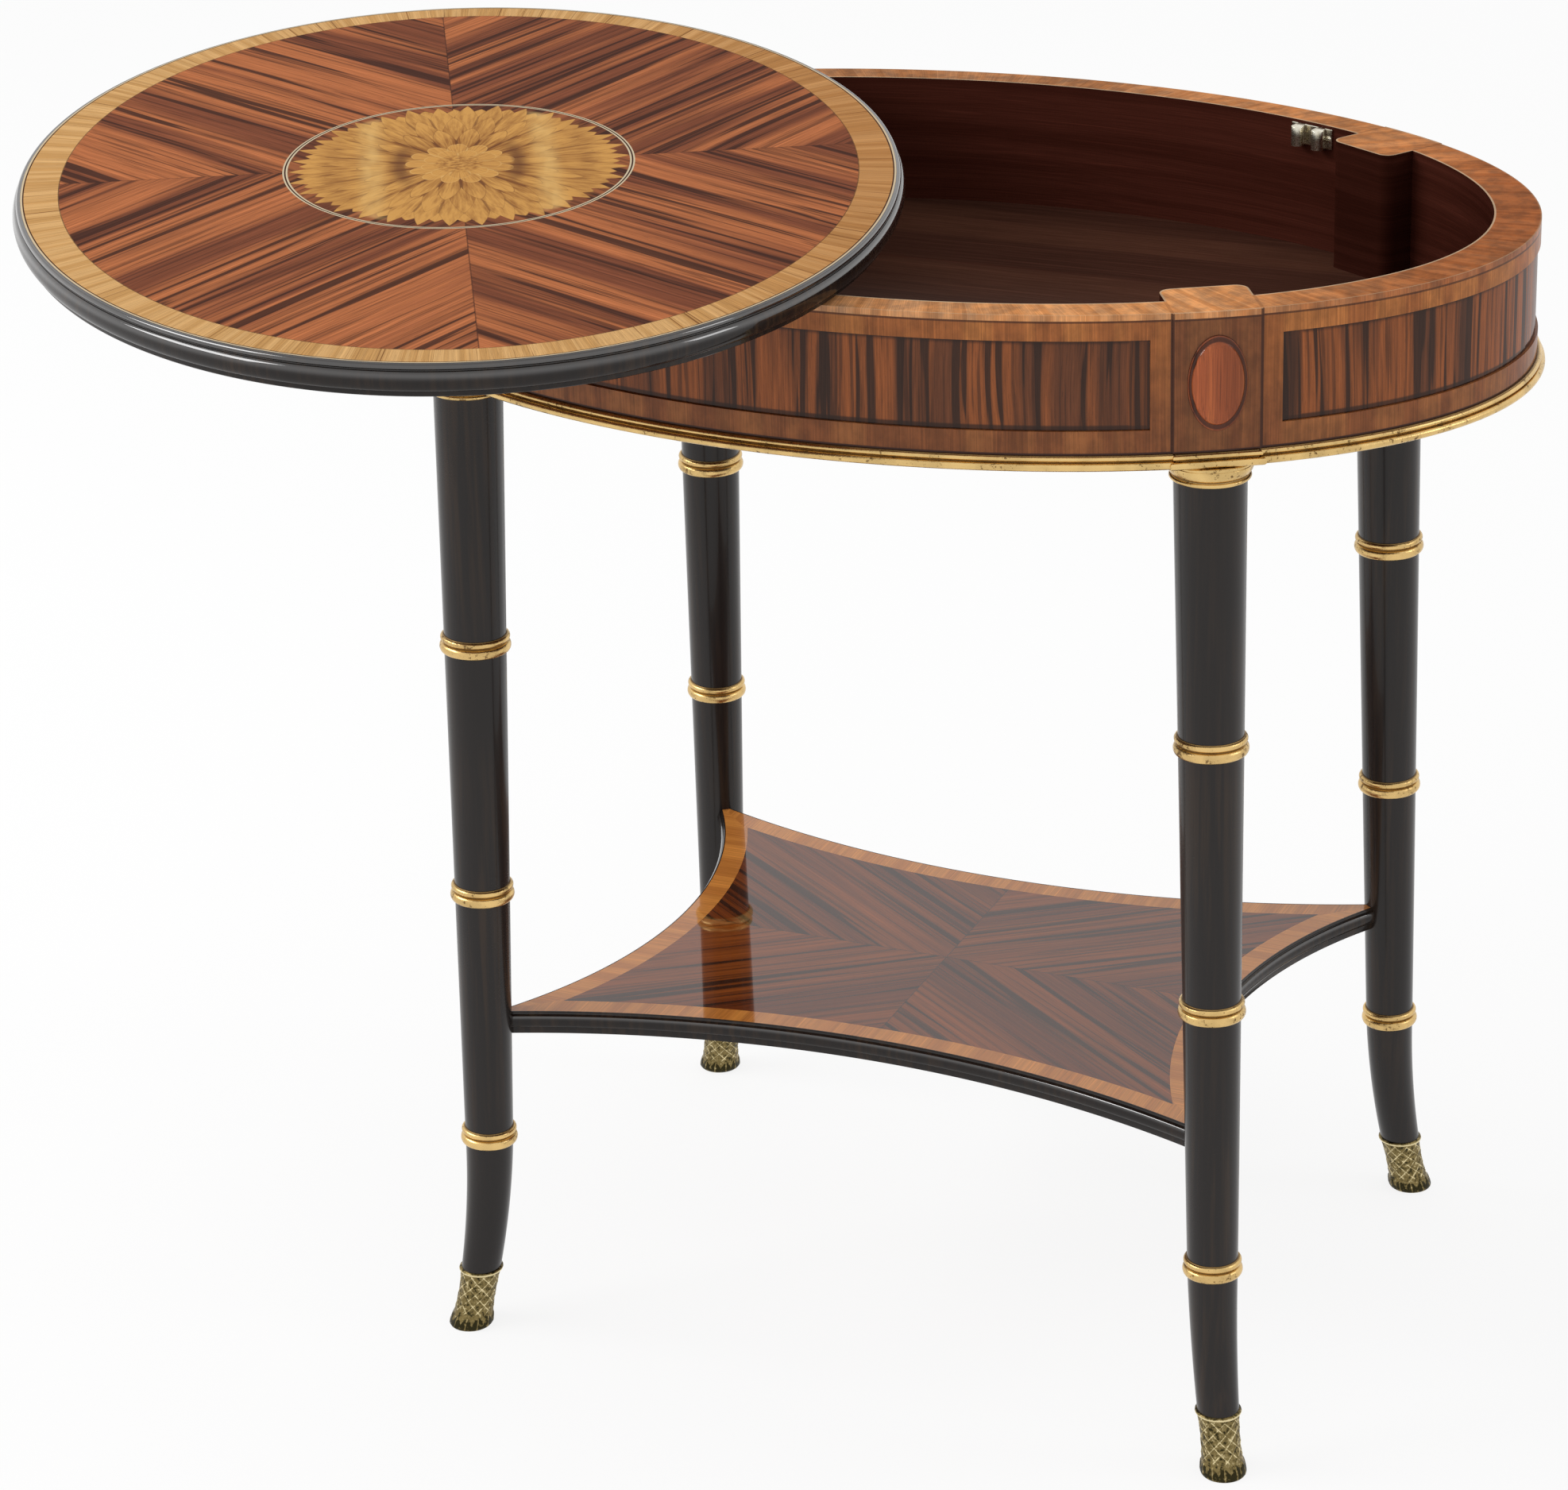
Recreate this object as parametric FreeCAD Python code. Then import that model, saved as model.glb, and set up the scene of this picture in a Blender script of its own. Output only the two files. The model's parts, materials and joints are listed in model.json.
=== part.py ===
import FreeCAD, Part
import math
import os

# Oval side table whose inlaid top swings open over a shallow storage well.
# It stands on Z = 0 with its long axis along X, its front towards -Y and the origin on the floor under the
# middle of the oval frame. Corner work is drawn for the back right corner and mirrored to the others.
# The top is drawn closed and then swung open about its bolt in the back left block, as it is shown.

V = FreeCAD.Vector
UP = V(0, 0, 1)
ORIGIN = V(0, 0, 0)

# Overall sizes
table_height = 700.0
frame_length = 686.0
frame_width = 462.0
frame_depth = 76.0
well_wall_end = 26.0
well_wall_side = 19.0

# Top
top_thickness = 17.2
top_overhang = 17.0
top_edge_width = 5.0
top_border_width = 21.0
top_veneer = 1.0
medallion_length = 252.0
medallion_width = 197.0
swivel_gap = 0.8
open_angle = 61.2

# Corner blocks and the panels between them
block_width = 47.0
block_depth = 42.0
block_proud = 1.0
block_corner_radius = 7.0
block_angle = 48.8
stile_width = 11.3
panel_pocket_depth = 2.5
panel_thickness = 1.0
panel_top_rail = 14.0
panel_bottom_rail = 13.0
patera_width = 32.0
patera_height = 52.0
patera_rise = 2.4
patera_bevel = 1.6

# Board under the well, the leaf that lines the well's floor and the gilt moulding
base_board_thickness = 8.0
well_floor_thickness = 1.0
well_floor_fit = 0.3
moulding_projection = 4.6
moulding_break_width = 51.0
moulding_break_projection = 4.4

# Legs, their capitals, rings and sabots
leg_setback = 16.6
leg_radius_top = 19.7
leg_radius_knee = 14.2
leg_radius_ankle = 11.9
leg_splay_long = 10.8
leg_splay_wide = 12.2
knee_height = 122.0
ankle_height = 37.0
toe_kick = 15.2
capital_height = 11.5
capital_projection = 3.4
ring_places = {"rings_upper": 436.5, "rings_middle": 281.7, "rings_lower": 123.9}
ring_height = 11.0
ring_projection = 2.7
ring_fit = 0.1
capital_fit = 0.2
sabot_foot_radius = 13.5
sabot_waist_radius = 11.3
sabot_rim_radius = 13.4
sabot_rim_height = 3.8

# Shelf
shelf_height = 200.6
shelf_thickness = 14.0
shelf_corner_setback = 8.5
shelf_end_hollow = 46.5
shelf_side_hollow = 43.4
shelf_border_width = 14.0
shelf_veneer = 1.0
shelf_edge_width = 3.4
shelf_notch_fit = 0.1

# Swivel
pivot_depth = 25.8
bolt_radius = 5.0
bolt_running_fit = 0.05
bolt_grip = 46.0
bolt_head_width = 15.0
bolt_head_height = 6.0
bolt_head_gap = 0.4
bolt_pocket_side = 20.0
pivot_plate_side = 36.0
pivot_plate_recess = 2.5

# Catch on the back wall and its striker under the top
catch_angle = 58.9
catch_length = 30.0
catch_height = 12.0
catch_plate = 1.3
catch_drop = 1.6
roller_radius = 3.8
roller_spacing = 15.0
roller_bite = 0.3
striker_radius = 2.5
striker_drop = 9.0
striker_plate_length = 26.0
striker_plate_width = 9.0
striker_plate_thickness = 1.5

# Cutting tools run this far past what they cut
overrun = 2.0

# Profiles, as shares of a projection and of a height, from the top down
top_edge_shares = ((0.12, 0.0), (0.4, 0.15), (1.0, 0.5), (0.34, 0.83), (0.14, 1.0))
reed_shares = ((0.0, 0.0), (0.68, 0.2), (0.4, 0.4), (1.0, 0.7), (0.0, 1.0))
shelf_edge_shares = ((0.2, 0.0), (1.0, 0.5), (0.3, 1.0))
capital_shares = ((1.0, 0.0), (1.0, 0.28), (0.0, 1.0))
toe_shares = (1.0, 0.62, 0.3, 0.0)
sabot_waist_share = 0.45

# Heights that follow
top_underside = table_height - top_thickness
rim_height = top_underside - swivel_gap
frame_bottom = rim_height - frame_depth
leg_top_height = frame_bottom - base_board_thickness
panel_bottom = frame_bottom + panel_bottom_rail
panel_top = rim_height - panel_top_rail
shelf_bottom = shelf_height - shelf_thickness

CORNERS = {
    "back_right": (1, 1),
    "back_left": (-1, 1),
    "front_left": (-1, -1),
    "front_right": (1, -1),
}


def grown(oval, distance):
    """An oval, held as its half length and half width, with both changed by the same distance."""
    return (oval[0] + distance, oval[1] + distance)


FRAME_OVAL = (frame_length / 2, frame_width / 2)
WELL_OVAL = (FRAME_OVAL[0] - well_wall_end, FRAME_OVAL[1] - well_wall_side)
TOP_OVAL = grown(FRAME_OVAL, top_overhang)
BORDER_OVAL = grown(TOP_OVAL, -top_edge_width)
LEAF_OVAL = grown(BORDER_OVAL, -top_border_width)
MEDALLION_OVAL = (medallion_length / 2, medallion_width / 2)


# Solids from ovals and profiles
def oval_wire(oval, z):
    """An ellipse in a level plane."""
    return Part.Wire(Part.Ellipse(V(0, 0, z), oval[0], oval[1]).toShape())


def oval_slab(oval, bottom, top):
    """A solid oval plate between two heights."""
    return Part.Face(oval_wire(oval, bottom)).extrude(UP * (top - bottom))


def oval_ring(outer, inner, bottom, top):
    """A flat-sided oval ring between two heights."""
    return oval_slab(outer, bottom, top).cut(oval_slab(inner, bottom - overrun, top + overrun))


def oval_moulding(oval, shares, projection, top, height):
    """A moulding round an oval: its profile is given as shares of the projection and the height."""
    wires = [oval_wire(grown(oval, projection * out), top - height * down) for out, down in shares]
    body = Part.makeLoft(wires, True, True)
    return body.cut(oval_slab(oval, top - height - overrun, top + overrun))


def polygon_face(points):
    """A flat face with straight sides."""
    return Part.Face(Part.makePolygon(list(points) + [points[0]]))


def line(start, end):
    """A straight edge."""
    return Part.LineSegment(start, end).toShape()


def arc(start, middle, end):
    """A circular edge through three points."""
    return Part.Arc(start, middle, end).toShape()


def collar(bore, shares, projection, height, top_centre, axis):
    """A turned collar with a plain bore, hanging down an axis from the middle of its top."""
    points = [V(bore + projection * out, 0, -height * down) for out, down in shares]
    if shares[0][0] > 0:
        points.insert(0, V(bore, 0, 0))
    solid = polygon_face(points).revolve(ORIGIN, UP, 360)
    solid.Placement = FreeCAD.Placement(top_centre, FreeCAD.Rotation(UP, axis))
    return solid


def to_corner(shape, corner):
    """A piece drawn for the back right corner, mirrored to another corner."""
    side_x, side_y = CORNERS[corner]
    if side_x < 0:
        shape = shape.mirror(ORIGIN, V(1, 0, 0))
    if side_y < 0:
        shape = shape.mirror(ORIGIN, V(0, 1, 0))
    return shape


def at_corners(shape):
    """The same piece at all four corners."""
    return [to_corner(shape, corner) for corner in CORNERS]


def group(shapes):
    """Separate solids kept together in one node."""
    return Part.makeCompound([solid for shape in shapes for solid in shape.Solids])


def side_of(solid):
    """Which of the frame's four stretches a piece between the blocks belongs to."""
    centre = solid.CenterOfMass
    if abs(centre.x) / FRAME_OVAL[0] < abs(centre.y) / FRAME_OVAL[1]:
        return "back" if centre.y > 0 else "front"
    return "right" if centre.x > 0 else "left"


# Corner axes: where the block stands on the frame's oval and the way it faces
def on_oval(oval, degrees):
    """A point of an oval at a parameter angle, and the outward direction there."""
    angle = math.radians(degrees)
    point = V(oval[0] * math.cos(angle), oval[1] * math.sin(angle), 0)
    outward = V(math.cos(angle) / oval[0], math.sin(angle) / oval[1], 0)
    return point, outward.normalize()


BLOCK_POINT, BLOCK_OUT = on_oval(FRAME_OVAL, block_angle)


def laid(shape, point, outward):
    """A shape drawn with +Y outward and X sideways, laid at a point of an oval."""
    turn = math.degrees(math.atan2(-outward.x, outward.y))
    shape.Placement = FreeCAD.Placement(point, FreeCAD.Rotation(UP, turn)).multiply(shape.Placement)
    return shape


def block_prism(width, bottom, top):
    """A block's upright prism: rounded corners inside, running outward past the frame's face."""
    half, radius, depth = width / 2, block_corner_radius, block_depth
    out = moulding_projection + overrun
    bend = radius * (1 - math.sqrt(0.5))
    edges = [
        line(V(-half, out, bottom), V(-half, radius - depth, bottom)),
        arc(V(-half, radius - depth, bottom), V(bend - half, bend - depth, bottom), V(radius - half, -depth, bottom)),
        line(V(radius - half, -depth, bottom), V(half - radius, -depth, bottom)),
        arc(V(half - radius, -depth, bottom), V(half - bend, bend - depth, bottom), V(half, radius - depth, bottom)),
        line(V(half, radius - depth, bottom), V(half, out, bottom)),
        line(V(half, out, bottom), V(-half, out, bottom)),
    ]
    return laid(Part.Face(Part.Wire(edges)).extrude(UP * (top - bottom)), BLOCK_POINT, BLOCK_OUT)


def block_gaps(width, bottom, top):
    """The upright slabs that the blocks, or the blocks with their stiles, take out of an oval ring."""
    depth = block_depth + overrun
    reach = depth + moulding_projection + overrun
    slab = Part.makeBox(width, reach, top - bottom, V(-width / 2, -depth, bottom))
    return at_corners(laid(slab, BLOCK_POINT, BLOCK_OUT))


# Oval frame
def aprons():
    """Four bent stretches between the blocks, each with a shallow pocket for its panel."""
    ring = oval_ring(FRAME_OVAL, WELL_OVAL, frame_bottom, rim_height)
    ring = ring.cut(block_gaps(block_width, frame_bottom - overrun, rim_height + overrun))
    pocket = oval_ring(grown(FRAME_OVAL, overrun), grown(FRAME_OVAL, -panel_pocket_depth), panel_bottom, panel_top)
    pocket = pocket.cut(block_gaps(block_width + stile_width * 2, frame_bottom, rim_height))
    return {"apron_" + side_of(solid): solid for solid in ring.cut(pocket).Solids}


def panels():
    """The upright-grained panels, each lying in its pocket a little below the frame round it."""
    back = grown(FRAME_OVAL, -panel_pocket_depth)
    ring = oval_ring(grown(back, panel_thickness), back, panel_bottom, panel_top)
    return group([ring.cut(block_gaps(block_width + stile_width * 2, frame_bottom, rim_height))])


def block(corner):
    """A corner block: proud of the oval outside and standing into the well inside."""
    solid = block_prism(block_width, frame_bottom, rim_height)
    solid = solid.common(oval_slab(grown(FRAME_OVAL, block_proud), frame_bottom, rim_height))
    solid = to_corner(solid, corner)
    if corner == "back_left":
        solid = solid.cut(pivot_bores())
    return solid


def patera():
    """The raised oval on a block: it bears on the middle of the block's bowed face and is bevelled in front."""
    middle = (panel_bottom + panel_top) / 2
    half_height, half_width = patera_height / 2, patera_width / 2
    # The ellipse is drawn with its long way along X, then stood up with its normal outward
    stood = FreeCAD.Rotation(UP, V(1, 0, 0), V(0, 1, 0), "ZYX")
    wires = []
    for reach, inset in ((block_proud, 0.0), (block_proud + patera_rise, patera_bevel)):
        curve = Part.Ellipse(ORIGIN, half_height - inset, half_width - inset).toShape()
        curve.Placement = FreeCAD.Placement(V(0, reach, middle), stood)
        wires.append(Part.Wire(curve))
    return laid(Part.makeLoft(wires, True, True), BLOCK_POINT, BLOCK_OUT)


def well_floor():
    """The leaf that lines the well's floor, cut round the blocks."""
    leaf = oval_slab(grown(WELL_OVAL, -well_floor_fit), frame_bottom, frame_bottom + well_floor_thickness)
    notch = block_prism(block_width + well_floor_fit * 2, frame_bottom - overrun, rim_height)
    return leaf.cut(at_corners(notch))


def base_moulding():
    """The gilt double-reeded moulding round the foot of the frame, stepping forward under each block."""
    ring = oval_moulding(FRAME_OVAL, reed_shares, moulding_projection, frame_bottom, base_board_thickness)
    ring = ring.cut(block_gaps(moulding_break_width, leg_top_height - overrun, frame_bottom + overrun))
    return group([ring] + at_corners(moulding_break()))


def moulding_break():
    """The straight length of the moulding that stands forward in front of a block."""
    projection = block_proud + moulding_break_projection
    half = moulding_break_width / 2
    points = [V(-half, projection * out, frame_bottom - base_board_thickness * down) for out, down in reed_shares]
    bow = block_depth / 2
    points += [V(-half, -bow, leg_top_height), V(-half, -bow, frame_bottom)]
    run = laid(polygon_face(points).extrude(V(moulding_break_width, 0, 0)), BLOCK_POINT, BLOCK_OUT)
    return run.cut(oval_slab(FRAME_OVAL, leg_top_height - overrun, frame_bottom + overrun))


# Legs
LEG_TOP = BLOCK_POINT - BLOCK_OUT * leg_setback + UP * leg_top_height
SPLAY = V(leg_splay_long, leg_splay_wide, -leg_top_height)
KICK_WAY = V(leg_splay_long, leg_splay_wide, 0).normalize()


def leg_centre(z):
    """The middle of the leg at a height: a straight splayed run, then a toe that curves further outward."""
    straight = LEG_TOP + SPLAY * ((leg_top_height - z) / leg_top_height)
    drop_share = max(0.0, knee_height - z) / knee_height
    return straight + KICK_WAY * (toe_kick * drop_share ** 2)


def leg_radius(z):
    """The leg's radius: one taper down to the knee and a quicker one to the ankle."""
    if z >= knee_height:
        share = (z - knee_height) / (leg_top_height - knee_height)
        return leg_radius_knee + (leg_radius_top - leg_radius_knee) * share
    share = (z - ankle_height) / (knee_height - ankle_height)
    return leg_radius_ankle + (leg_radius_knee - leg_radius_ankle) * share


def leg_circle(z, radius):
    """A level circle round the leg's centre line."""
    return Part.Wire(Part.Circle(leg_centre(z), UP, radius).toShape())


def leg():
    """One leg in a single piece, from the base board past its rings and down the curved toe to the sabot."""
    straight = [leg_top_height] + sorted(ring_places.values(), reverse=True)[:-1]
    toe = [ankle_height + (knee_height - ankle_height) * share for share in toe_shares]
    return Part.makeLoft([leg_circle(z, leg_radius(z)) for z in straight + toe], True, True)


def ring(z):
    """A gilt ring of two reeds, threaded on the straight run of the leg."""
    top_centre = leg_centre(z + ring_height / 2)
    bore = leg_radius(z) + ring_fit
    return collar(bore, reed_shares, ring_projection, ring_height, top_centre, SPLAY * -1)


def capital():
    """The gilt collar at the head of the leg, spreading under the base board."""
    middle = leg_centre(leg_top_height - capital_height / 2)
    top_centre = V(middle.x, middle.y, leg_top_height)
    return collar(leg_radius_top + capital_fit, capital_shares, capital_projection, capital_height, top_centre, UP)


def sabot():
    """A cast shoe under the toe: a rim bead, a waisted body and a spreading foot."""
    rim_low = ankle_height - sabot_rim_height
    wires = [
        leg_circle(ankle_height, leg_radius_ankle),
        leg_circle((ankle_height + rim_low) / 2, sabot_rim_radius),
        leg_circle(rim_low, sabot_waist_radius),
        leg_circle(rim_low * sabot_waist_share, sabot_waist_radius),
        leg_circle(0, sabot_foot_radius),
    ]
    return Part.makeLoft(wires, True, True)


# Shelf, whose outline is four hollow arcs that meet at the legs
SHELF_SPOT = leg_centre(shelf_height - shelf_thickness / 2)
SHELF_CORNER = SHELF_SPOT - BLOCK_OUT * shelf_corner_setback


def hollow_radius(half_chord, hollow):
    """The radius of an arc from half its chord and the depth of its hollow."""
    return (half_chord ** 2 + hollow ** 2) / (2 * hollow)


shelf_half_length = SHELF_CORNER.x - shelf_end_hollow
shelf_half_width = SHELF_CORNER.y - shelf_side_hollow
shelf_end_radius = hollow_radius(SHELF_CORNER.y, shelf_end_hollow)
shelf_side_radius = hollow_radius(SHELF_CORNER.x, shelf_side_hollow)
SIDE_CENTRE = V(0, shelf_half_width + shelf_side_radius, 0)
END_CENTRE = V(shelf_half_length + shelf_end_radius, 0, 0)


def shelf_corner(inset):
    """Where the back arc meets the right arc, with the outline moved in by a distance."""
    side_radius, end_radius = shelf_side_radius + inset, shelf_end_radius + inset
    gap = END_CENTRE - SIDE_CENTRE
    along = (side_radius ** 2 - end_radius ** 2 + gap.Length ** 2) / (2 * gap.Length)
    aside = math.sqrt(side_radius ** 2 - along ** 2)
    unit = V(gap).normalize()
    meetings = [SIDE_CENTRE + unit * along + unit.cross(UP) * (aside * way) for way in (-1, 1)]
    return min(meetings, key=lambda spot: spot.Length)


def shelf_slab(inset, bottom, top):
    """A plate with the shelf's outline, moved in by a distance."""
    corner = shelf_corner(inset)
    x, y = corner.x, corner.y
    middle_x, middle_y = shelf_half_length - inset, shelf_half_width - inset
    edges = [
        arc(V(x, y, bottom), V(0, middle_y, bottom), V(-x, y, bottom)),
        arc(V(-x, y, bottom), V(-middle_x, 0, bottom), V(-x, -y, bottom)),
        arc(V(-x, -y, bottom), V(0, -middle_y, bottom), V(x, -y, bottom)),
        arc(V(x, -y, bottom), V(middle_x, 0, bottom), V(x, y, bottom)),
    ]
    return Part.Face(Part.Wire(edges)).extrude(UP * (top - bottom))


def leg_notches():
    """Upright cylinders that notch the shelf's corners round the legs."""
    lean = shelf_thickness * SPLAY.getAngle(UP * -1) / 2
    radius = leg_radius(shelf_height) + lean + shelf_notch_fit
    low = V(SHELF_SPOT.x, SHELF_SPOT.y, shelf_bottom - overrun)
    return at_corners(Part.makeCylinder(radius, shelf_thickness + overrun * 2, low))


def shelf_core():
    """The shelf's board under its veneers."""
    return shelf_slab(0, shelf_bottom, shelf_height - shelf_veneer).cut(leg_notches())


def shelf_border():
    """The crossbanded border round the shelf."""
    low = shelf_height - shelf_veneer
    hole = shelf_slab(shelf_border_width, low - overrun, shelf_height + overrun)
    return shelf_slab(0, low, shelf_height).cut([hole] + leg_notches())


def shelf_edge():
    """The ebonised edgings, each turned about its arc's centre and trimmed between the legs."""
    corner = shelf_corner(0)
    strips = []
    for centre, radius in ((SIDE_CENTRE, shelf_side_radius), (END_CENTRE, shelf_end_radius)):
        profile = [V(radius, 0, shelf_bottom), V(radius, 0, shelf_height)]
        for out, down in shelf_edge_shares:
            profile.append(V(radius - shelf_edge_width * out, 0, shelf_height - shelf_thickness * down))
        half_angle = math.degrees((corner - centre).getAngle(centre * -1))
        start = math.degrees(math.atan2(-centre.y, -centre.x)) - half_angle
        face = polygon_face(profile)
        face.rotate(ORIGIN, UP, start)
        face.translate(centre)
        strip = face.revolve(centre, UP, half_angle * 2)
        strips += [strip, strip.mirror(ORIGIN, centre)]
    trimmed = [strip.cut(leg_notches()) for strip in strips]
    return group([max(strip.Solids, key=lambda solid: solid.Volume) for strip in trimmed])


def quarters(plate, bottom, top, prefix):
    """A plate sawn into its four matched leaves along both axes."""
    leaves = {}
    for corner, (side_x, side_y) in CORNERS.items():
        place = V(min(side_x, 0) * frame_length, min(side_y, 0) * frame_length, bottom)
        leaves[prefix + corner] = plate.common(Part.makeBox(frame_length, frame_length, top - bottom, place))
    return leaves


def shelf_leaves():
    """The four matched veneer leaves inside the shelf's border."""
    low = shelf_height - shelf_veneer
    return quarters(shelf_slab(shelf_border_width, low, shelf_height), low, shelf_height, "shelf_leaf_")


# Swivel
def pivot_centre():
    """The pivot's place in the back left block."""
    spot = BLOCK_POINT - BLOCK_OUT * pivot_depth
    side_x, side_y = CORNERS["back_left"]
    return V(spot.x * side_x, spot.y * side_y, 0)


PIVOT = pivot_centre()
BOLT_SEAT = rim_height - bolt_grip


def pivot_bores():
    """The bore for the bolt's shank and the square pocket below it where the bolt's head turns."""
    radius = bolt_radius + bolt_running_fit
    shank = Part.makeCylinder(radius, bolt_grip + overrun * 2, PIVOT + UP * (BOLT_SEAT - overrun))
    half, low = bolt_pocket_side / 2, frame_bottom - overrun
    pocket = Part.makeBox(bolt_pocket_side, bolt_pocket_side, BOLT_SEAT - low, PIVOT + V(-half, -half, low))
    return [shank, pocket]


def pivot_bolt():
    """The bolt that the top turns on: it rises through the block and is fixed in the pivot plate."""
    head_top = BOLT_SEAT - bolt_head_gap
    length = top_underside + pivot_plate_recess - head_top
    radius = bolt_head_width / math.sqrt(3)
    turns = [math.pi / 3 * step for step in range(6)]
    hexagon = polygon_face([V(radius * math.cos(turn), radius * math.sin(turn), 0) for turn in turns])
    hexagon.translate(PIVOT + UP * (head_top - bolt_head_height))
    shank = Part.makeCylinder(bolt_radius, length, PIVOT + UP * head_top)
    return hexagon.extrude(UP * bolt_head_height).fuse(shank)


def pivot_plate():
    """The square plate let into the top; its lower face bears on the block and keeps the top off the rim."""
    half = pivot_plate_side / 2
    thickness = pivot_plate_recess + swivel_gap
    plate = Part.makeBox(pivot_plate_side, pivot_plate_side, thickness, PIVOT + V(-half, -half, rim_height))
    return plate.cut(Part.makeCylinder(bolt_radius, thickness + overrun * 2, PIVOT + UP * (rim_height - overrun)))


# Catch, drawn with +Y into the well from the middle of its place on the back wall
CATCH_POINT, CATCH_OUT = on_oval(WELL_OVAL, catch_angle)
catch_sag = catch_length ** 2 / (8 * WELL_OVAL[0])
roller_reach = catch_sag + catch_plate + roller_radius - roller_bite


def at_catch(shape):
    """A shape drawn with +Y into the well, laid on the back wall."""
    return laid(shape, CATCH_POINT, CATCH_OUT * -1)


def catch():
    """A double roller catch: a plate on the wall carrying two upright rollers that close on the striker."""
    low = rim_height - catch_drop - catch_height
    plate = Part.makeBox(catch_length, catch_plate, catch_height, V(-catch_length / 2, catch_sag, low))
    rollers = []
    for side in (-1, 1):
        rollers.append(Part.makeCylinder(roller_radius, catch_height, V(side * roller_spacing / 2, roller_reach, low)))
    return at_catch(plate.fuse(rollers))


def striker_plate():
    """The striker's plate, let into the underside of the top over the catch."""
    place = V(-striker_plate_length / 2, roller_reach - striker_plate_width / 2, top_underside)
    return at_catch(Part.makeBox(striker_plate_length, striker_plate_width, striker_plate_thickness, place))


def striker():
    """A round pin hanging from its plate, which stands between the rollers when the top is closed."""
    spot = V(0, roller_reach, top_underside - striker_drop)
    return at_catch(Part.makeCylinder(striker_radius, striker_drop, spot)).fuse(striker_plate())


# Top
def top_core():
    """The top's board under its veneers, recessed for the pivot plate and the striker's plate."""
    board = oval_slab(BORDER_OVAL, top_underside, table_height - top_veneer)
    half = pivot_plate_side / 2
    corner = PIVOT + V(-half, -half, top_underside)
    recess = Part.makeBox(pivot_plate_side, pivot_plate_side, pivot_plate_recess, corner)
    return board.cut([recess, striker_plate()])


def top_leaves():
    """The four matched veneer leaves between the border and the medallion."""
    low = table_height - top_veneer
    return quarters(oval_ring(LEAF_OVAL, MEDALLION_OVAL, low, table_height), low, table_height, "top_leaf_")


def closed_top():
    """Every piece that turns with the top, drawn closed."""
    low = table_height - top_veneer
    return {
        "top_core": top_core(),
        "top_edge": oval_moulding(BORDER_OVAL, top_edge_shares, top_edge_width, table_height, top_thickness),
        "top_border": oval_ring(BORDER_OVAL, LEAF_OVAL, low, table_height),
        "top_medallion": oval_slab(MEDALLION_OVAL, low, table_height),
        "pivot_plate": pivot_plate(),
        "pivot_bolt": pivot_bolt(),
        "striker": striker(),
        **top_leaves(),
    }


def swung_open(shape):
    """A piece of the closed top, turned clockwise about the pivot."""
    opened = shape.copy()
    opened.rotate(PIVOT, UP, -open_angle)
    return opened


def all_nodes():
    """Every node of the table by name."""
    leg_solid = leg()
    nodes = {**aprons(), **shelf_leaves()}
    for corner in CORNERS:
        nodes["block_" + corner] = block(corner)
        nodes["leg_" + corner] = to_corner(leg_solid, corner)
    for name, z in ring_places.items():
        nodes[name] = group(at_corners(ring(z)))
    nodes["panels"] = panels()
    nodes["paterae"] = group(at_corners(patera()))
    nodes["base_board"] = oval_slab(FRAME_OVAL, leg_top_height, frame_bottom)
    nodes["well_floor"] = well_floor()
    nodes["base_moulding"] = base_moulding()
    nodes["capitals"] = group(at_corners(capital()))
    nodes["sabots"] = group(at_corners(sabot()))
    nodes["shelf_core"] = shelf_core()
    nodes["shelf_border"] = shelf_border()
    nodes["shelf_edge"] = shelf_edge()
    nodes["catch"] = catch()
    nodes.update({name: swung_open(shape) for name, shape in closed_top().items()})
    return nodes


def main():
    """Write each node as its own file."""
    os.makedirs("parts", exist_ok=True)
    nodes = all_nodes()
    for name, shape in nodes.items():
        shape.exportStep(os.path.join("parts", name + ".step"))
    print(len(nodes), "nodes")


main()
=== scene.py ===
import json
import math
from functools import partialmethod

import bpy
import numpy as np
from bpy.props import FloatProperty, FloatVectorProperty, IntProperty, PointerProperty
from mathutils import Matrix, Vector


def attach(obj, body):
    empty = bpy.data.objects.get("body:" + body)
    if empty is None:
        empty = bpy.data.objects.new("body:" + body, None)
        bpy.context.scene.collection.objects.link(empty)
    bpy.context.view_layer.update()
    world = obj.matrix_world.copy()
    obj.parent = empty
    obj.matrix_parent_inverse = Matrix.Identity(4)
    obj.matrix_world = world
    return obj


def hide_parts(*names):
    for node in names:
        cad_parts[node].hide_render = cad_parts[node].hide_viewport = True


bl_info = {
    "name": "Swivel-top side table",
    "version": (1, 0, 0),
    "blender": (4, 5, 0),
    "location": "View3D > Sidebar > Side Table",
    "description": "Dresses the solids of an oval side table with its mouldings, gilt mounts and veneers",
    "category": "Add Mesh",
}

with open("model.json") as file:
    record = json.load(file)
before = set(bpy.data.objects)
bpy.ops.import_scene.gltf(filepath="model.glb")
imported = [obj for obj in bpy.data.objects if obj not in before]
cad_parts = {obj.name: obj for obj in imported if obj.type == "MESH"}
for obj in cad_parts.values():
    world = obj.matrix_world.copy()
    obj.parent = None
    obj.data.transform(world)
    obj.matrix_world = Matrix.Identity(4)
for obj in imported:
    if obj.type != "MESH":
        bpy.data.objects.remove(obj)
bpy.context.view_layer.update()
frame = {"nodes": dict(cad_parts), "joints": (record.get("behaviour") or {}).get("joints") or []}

# Lengths below are in millimetres, as in the solids, and become metres when a mesh is made
MM = 0.001

# The joint says where the top turns and how far it stands open
SWIVEL = frame["joints"][0]
PIVOT = np.array(SWIVEL["pos_m"][:2]) / MM
OPEN = math.radians(SWIVEL["range_deg"][1])

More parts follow.
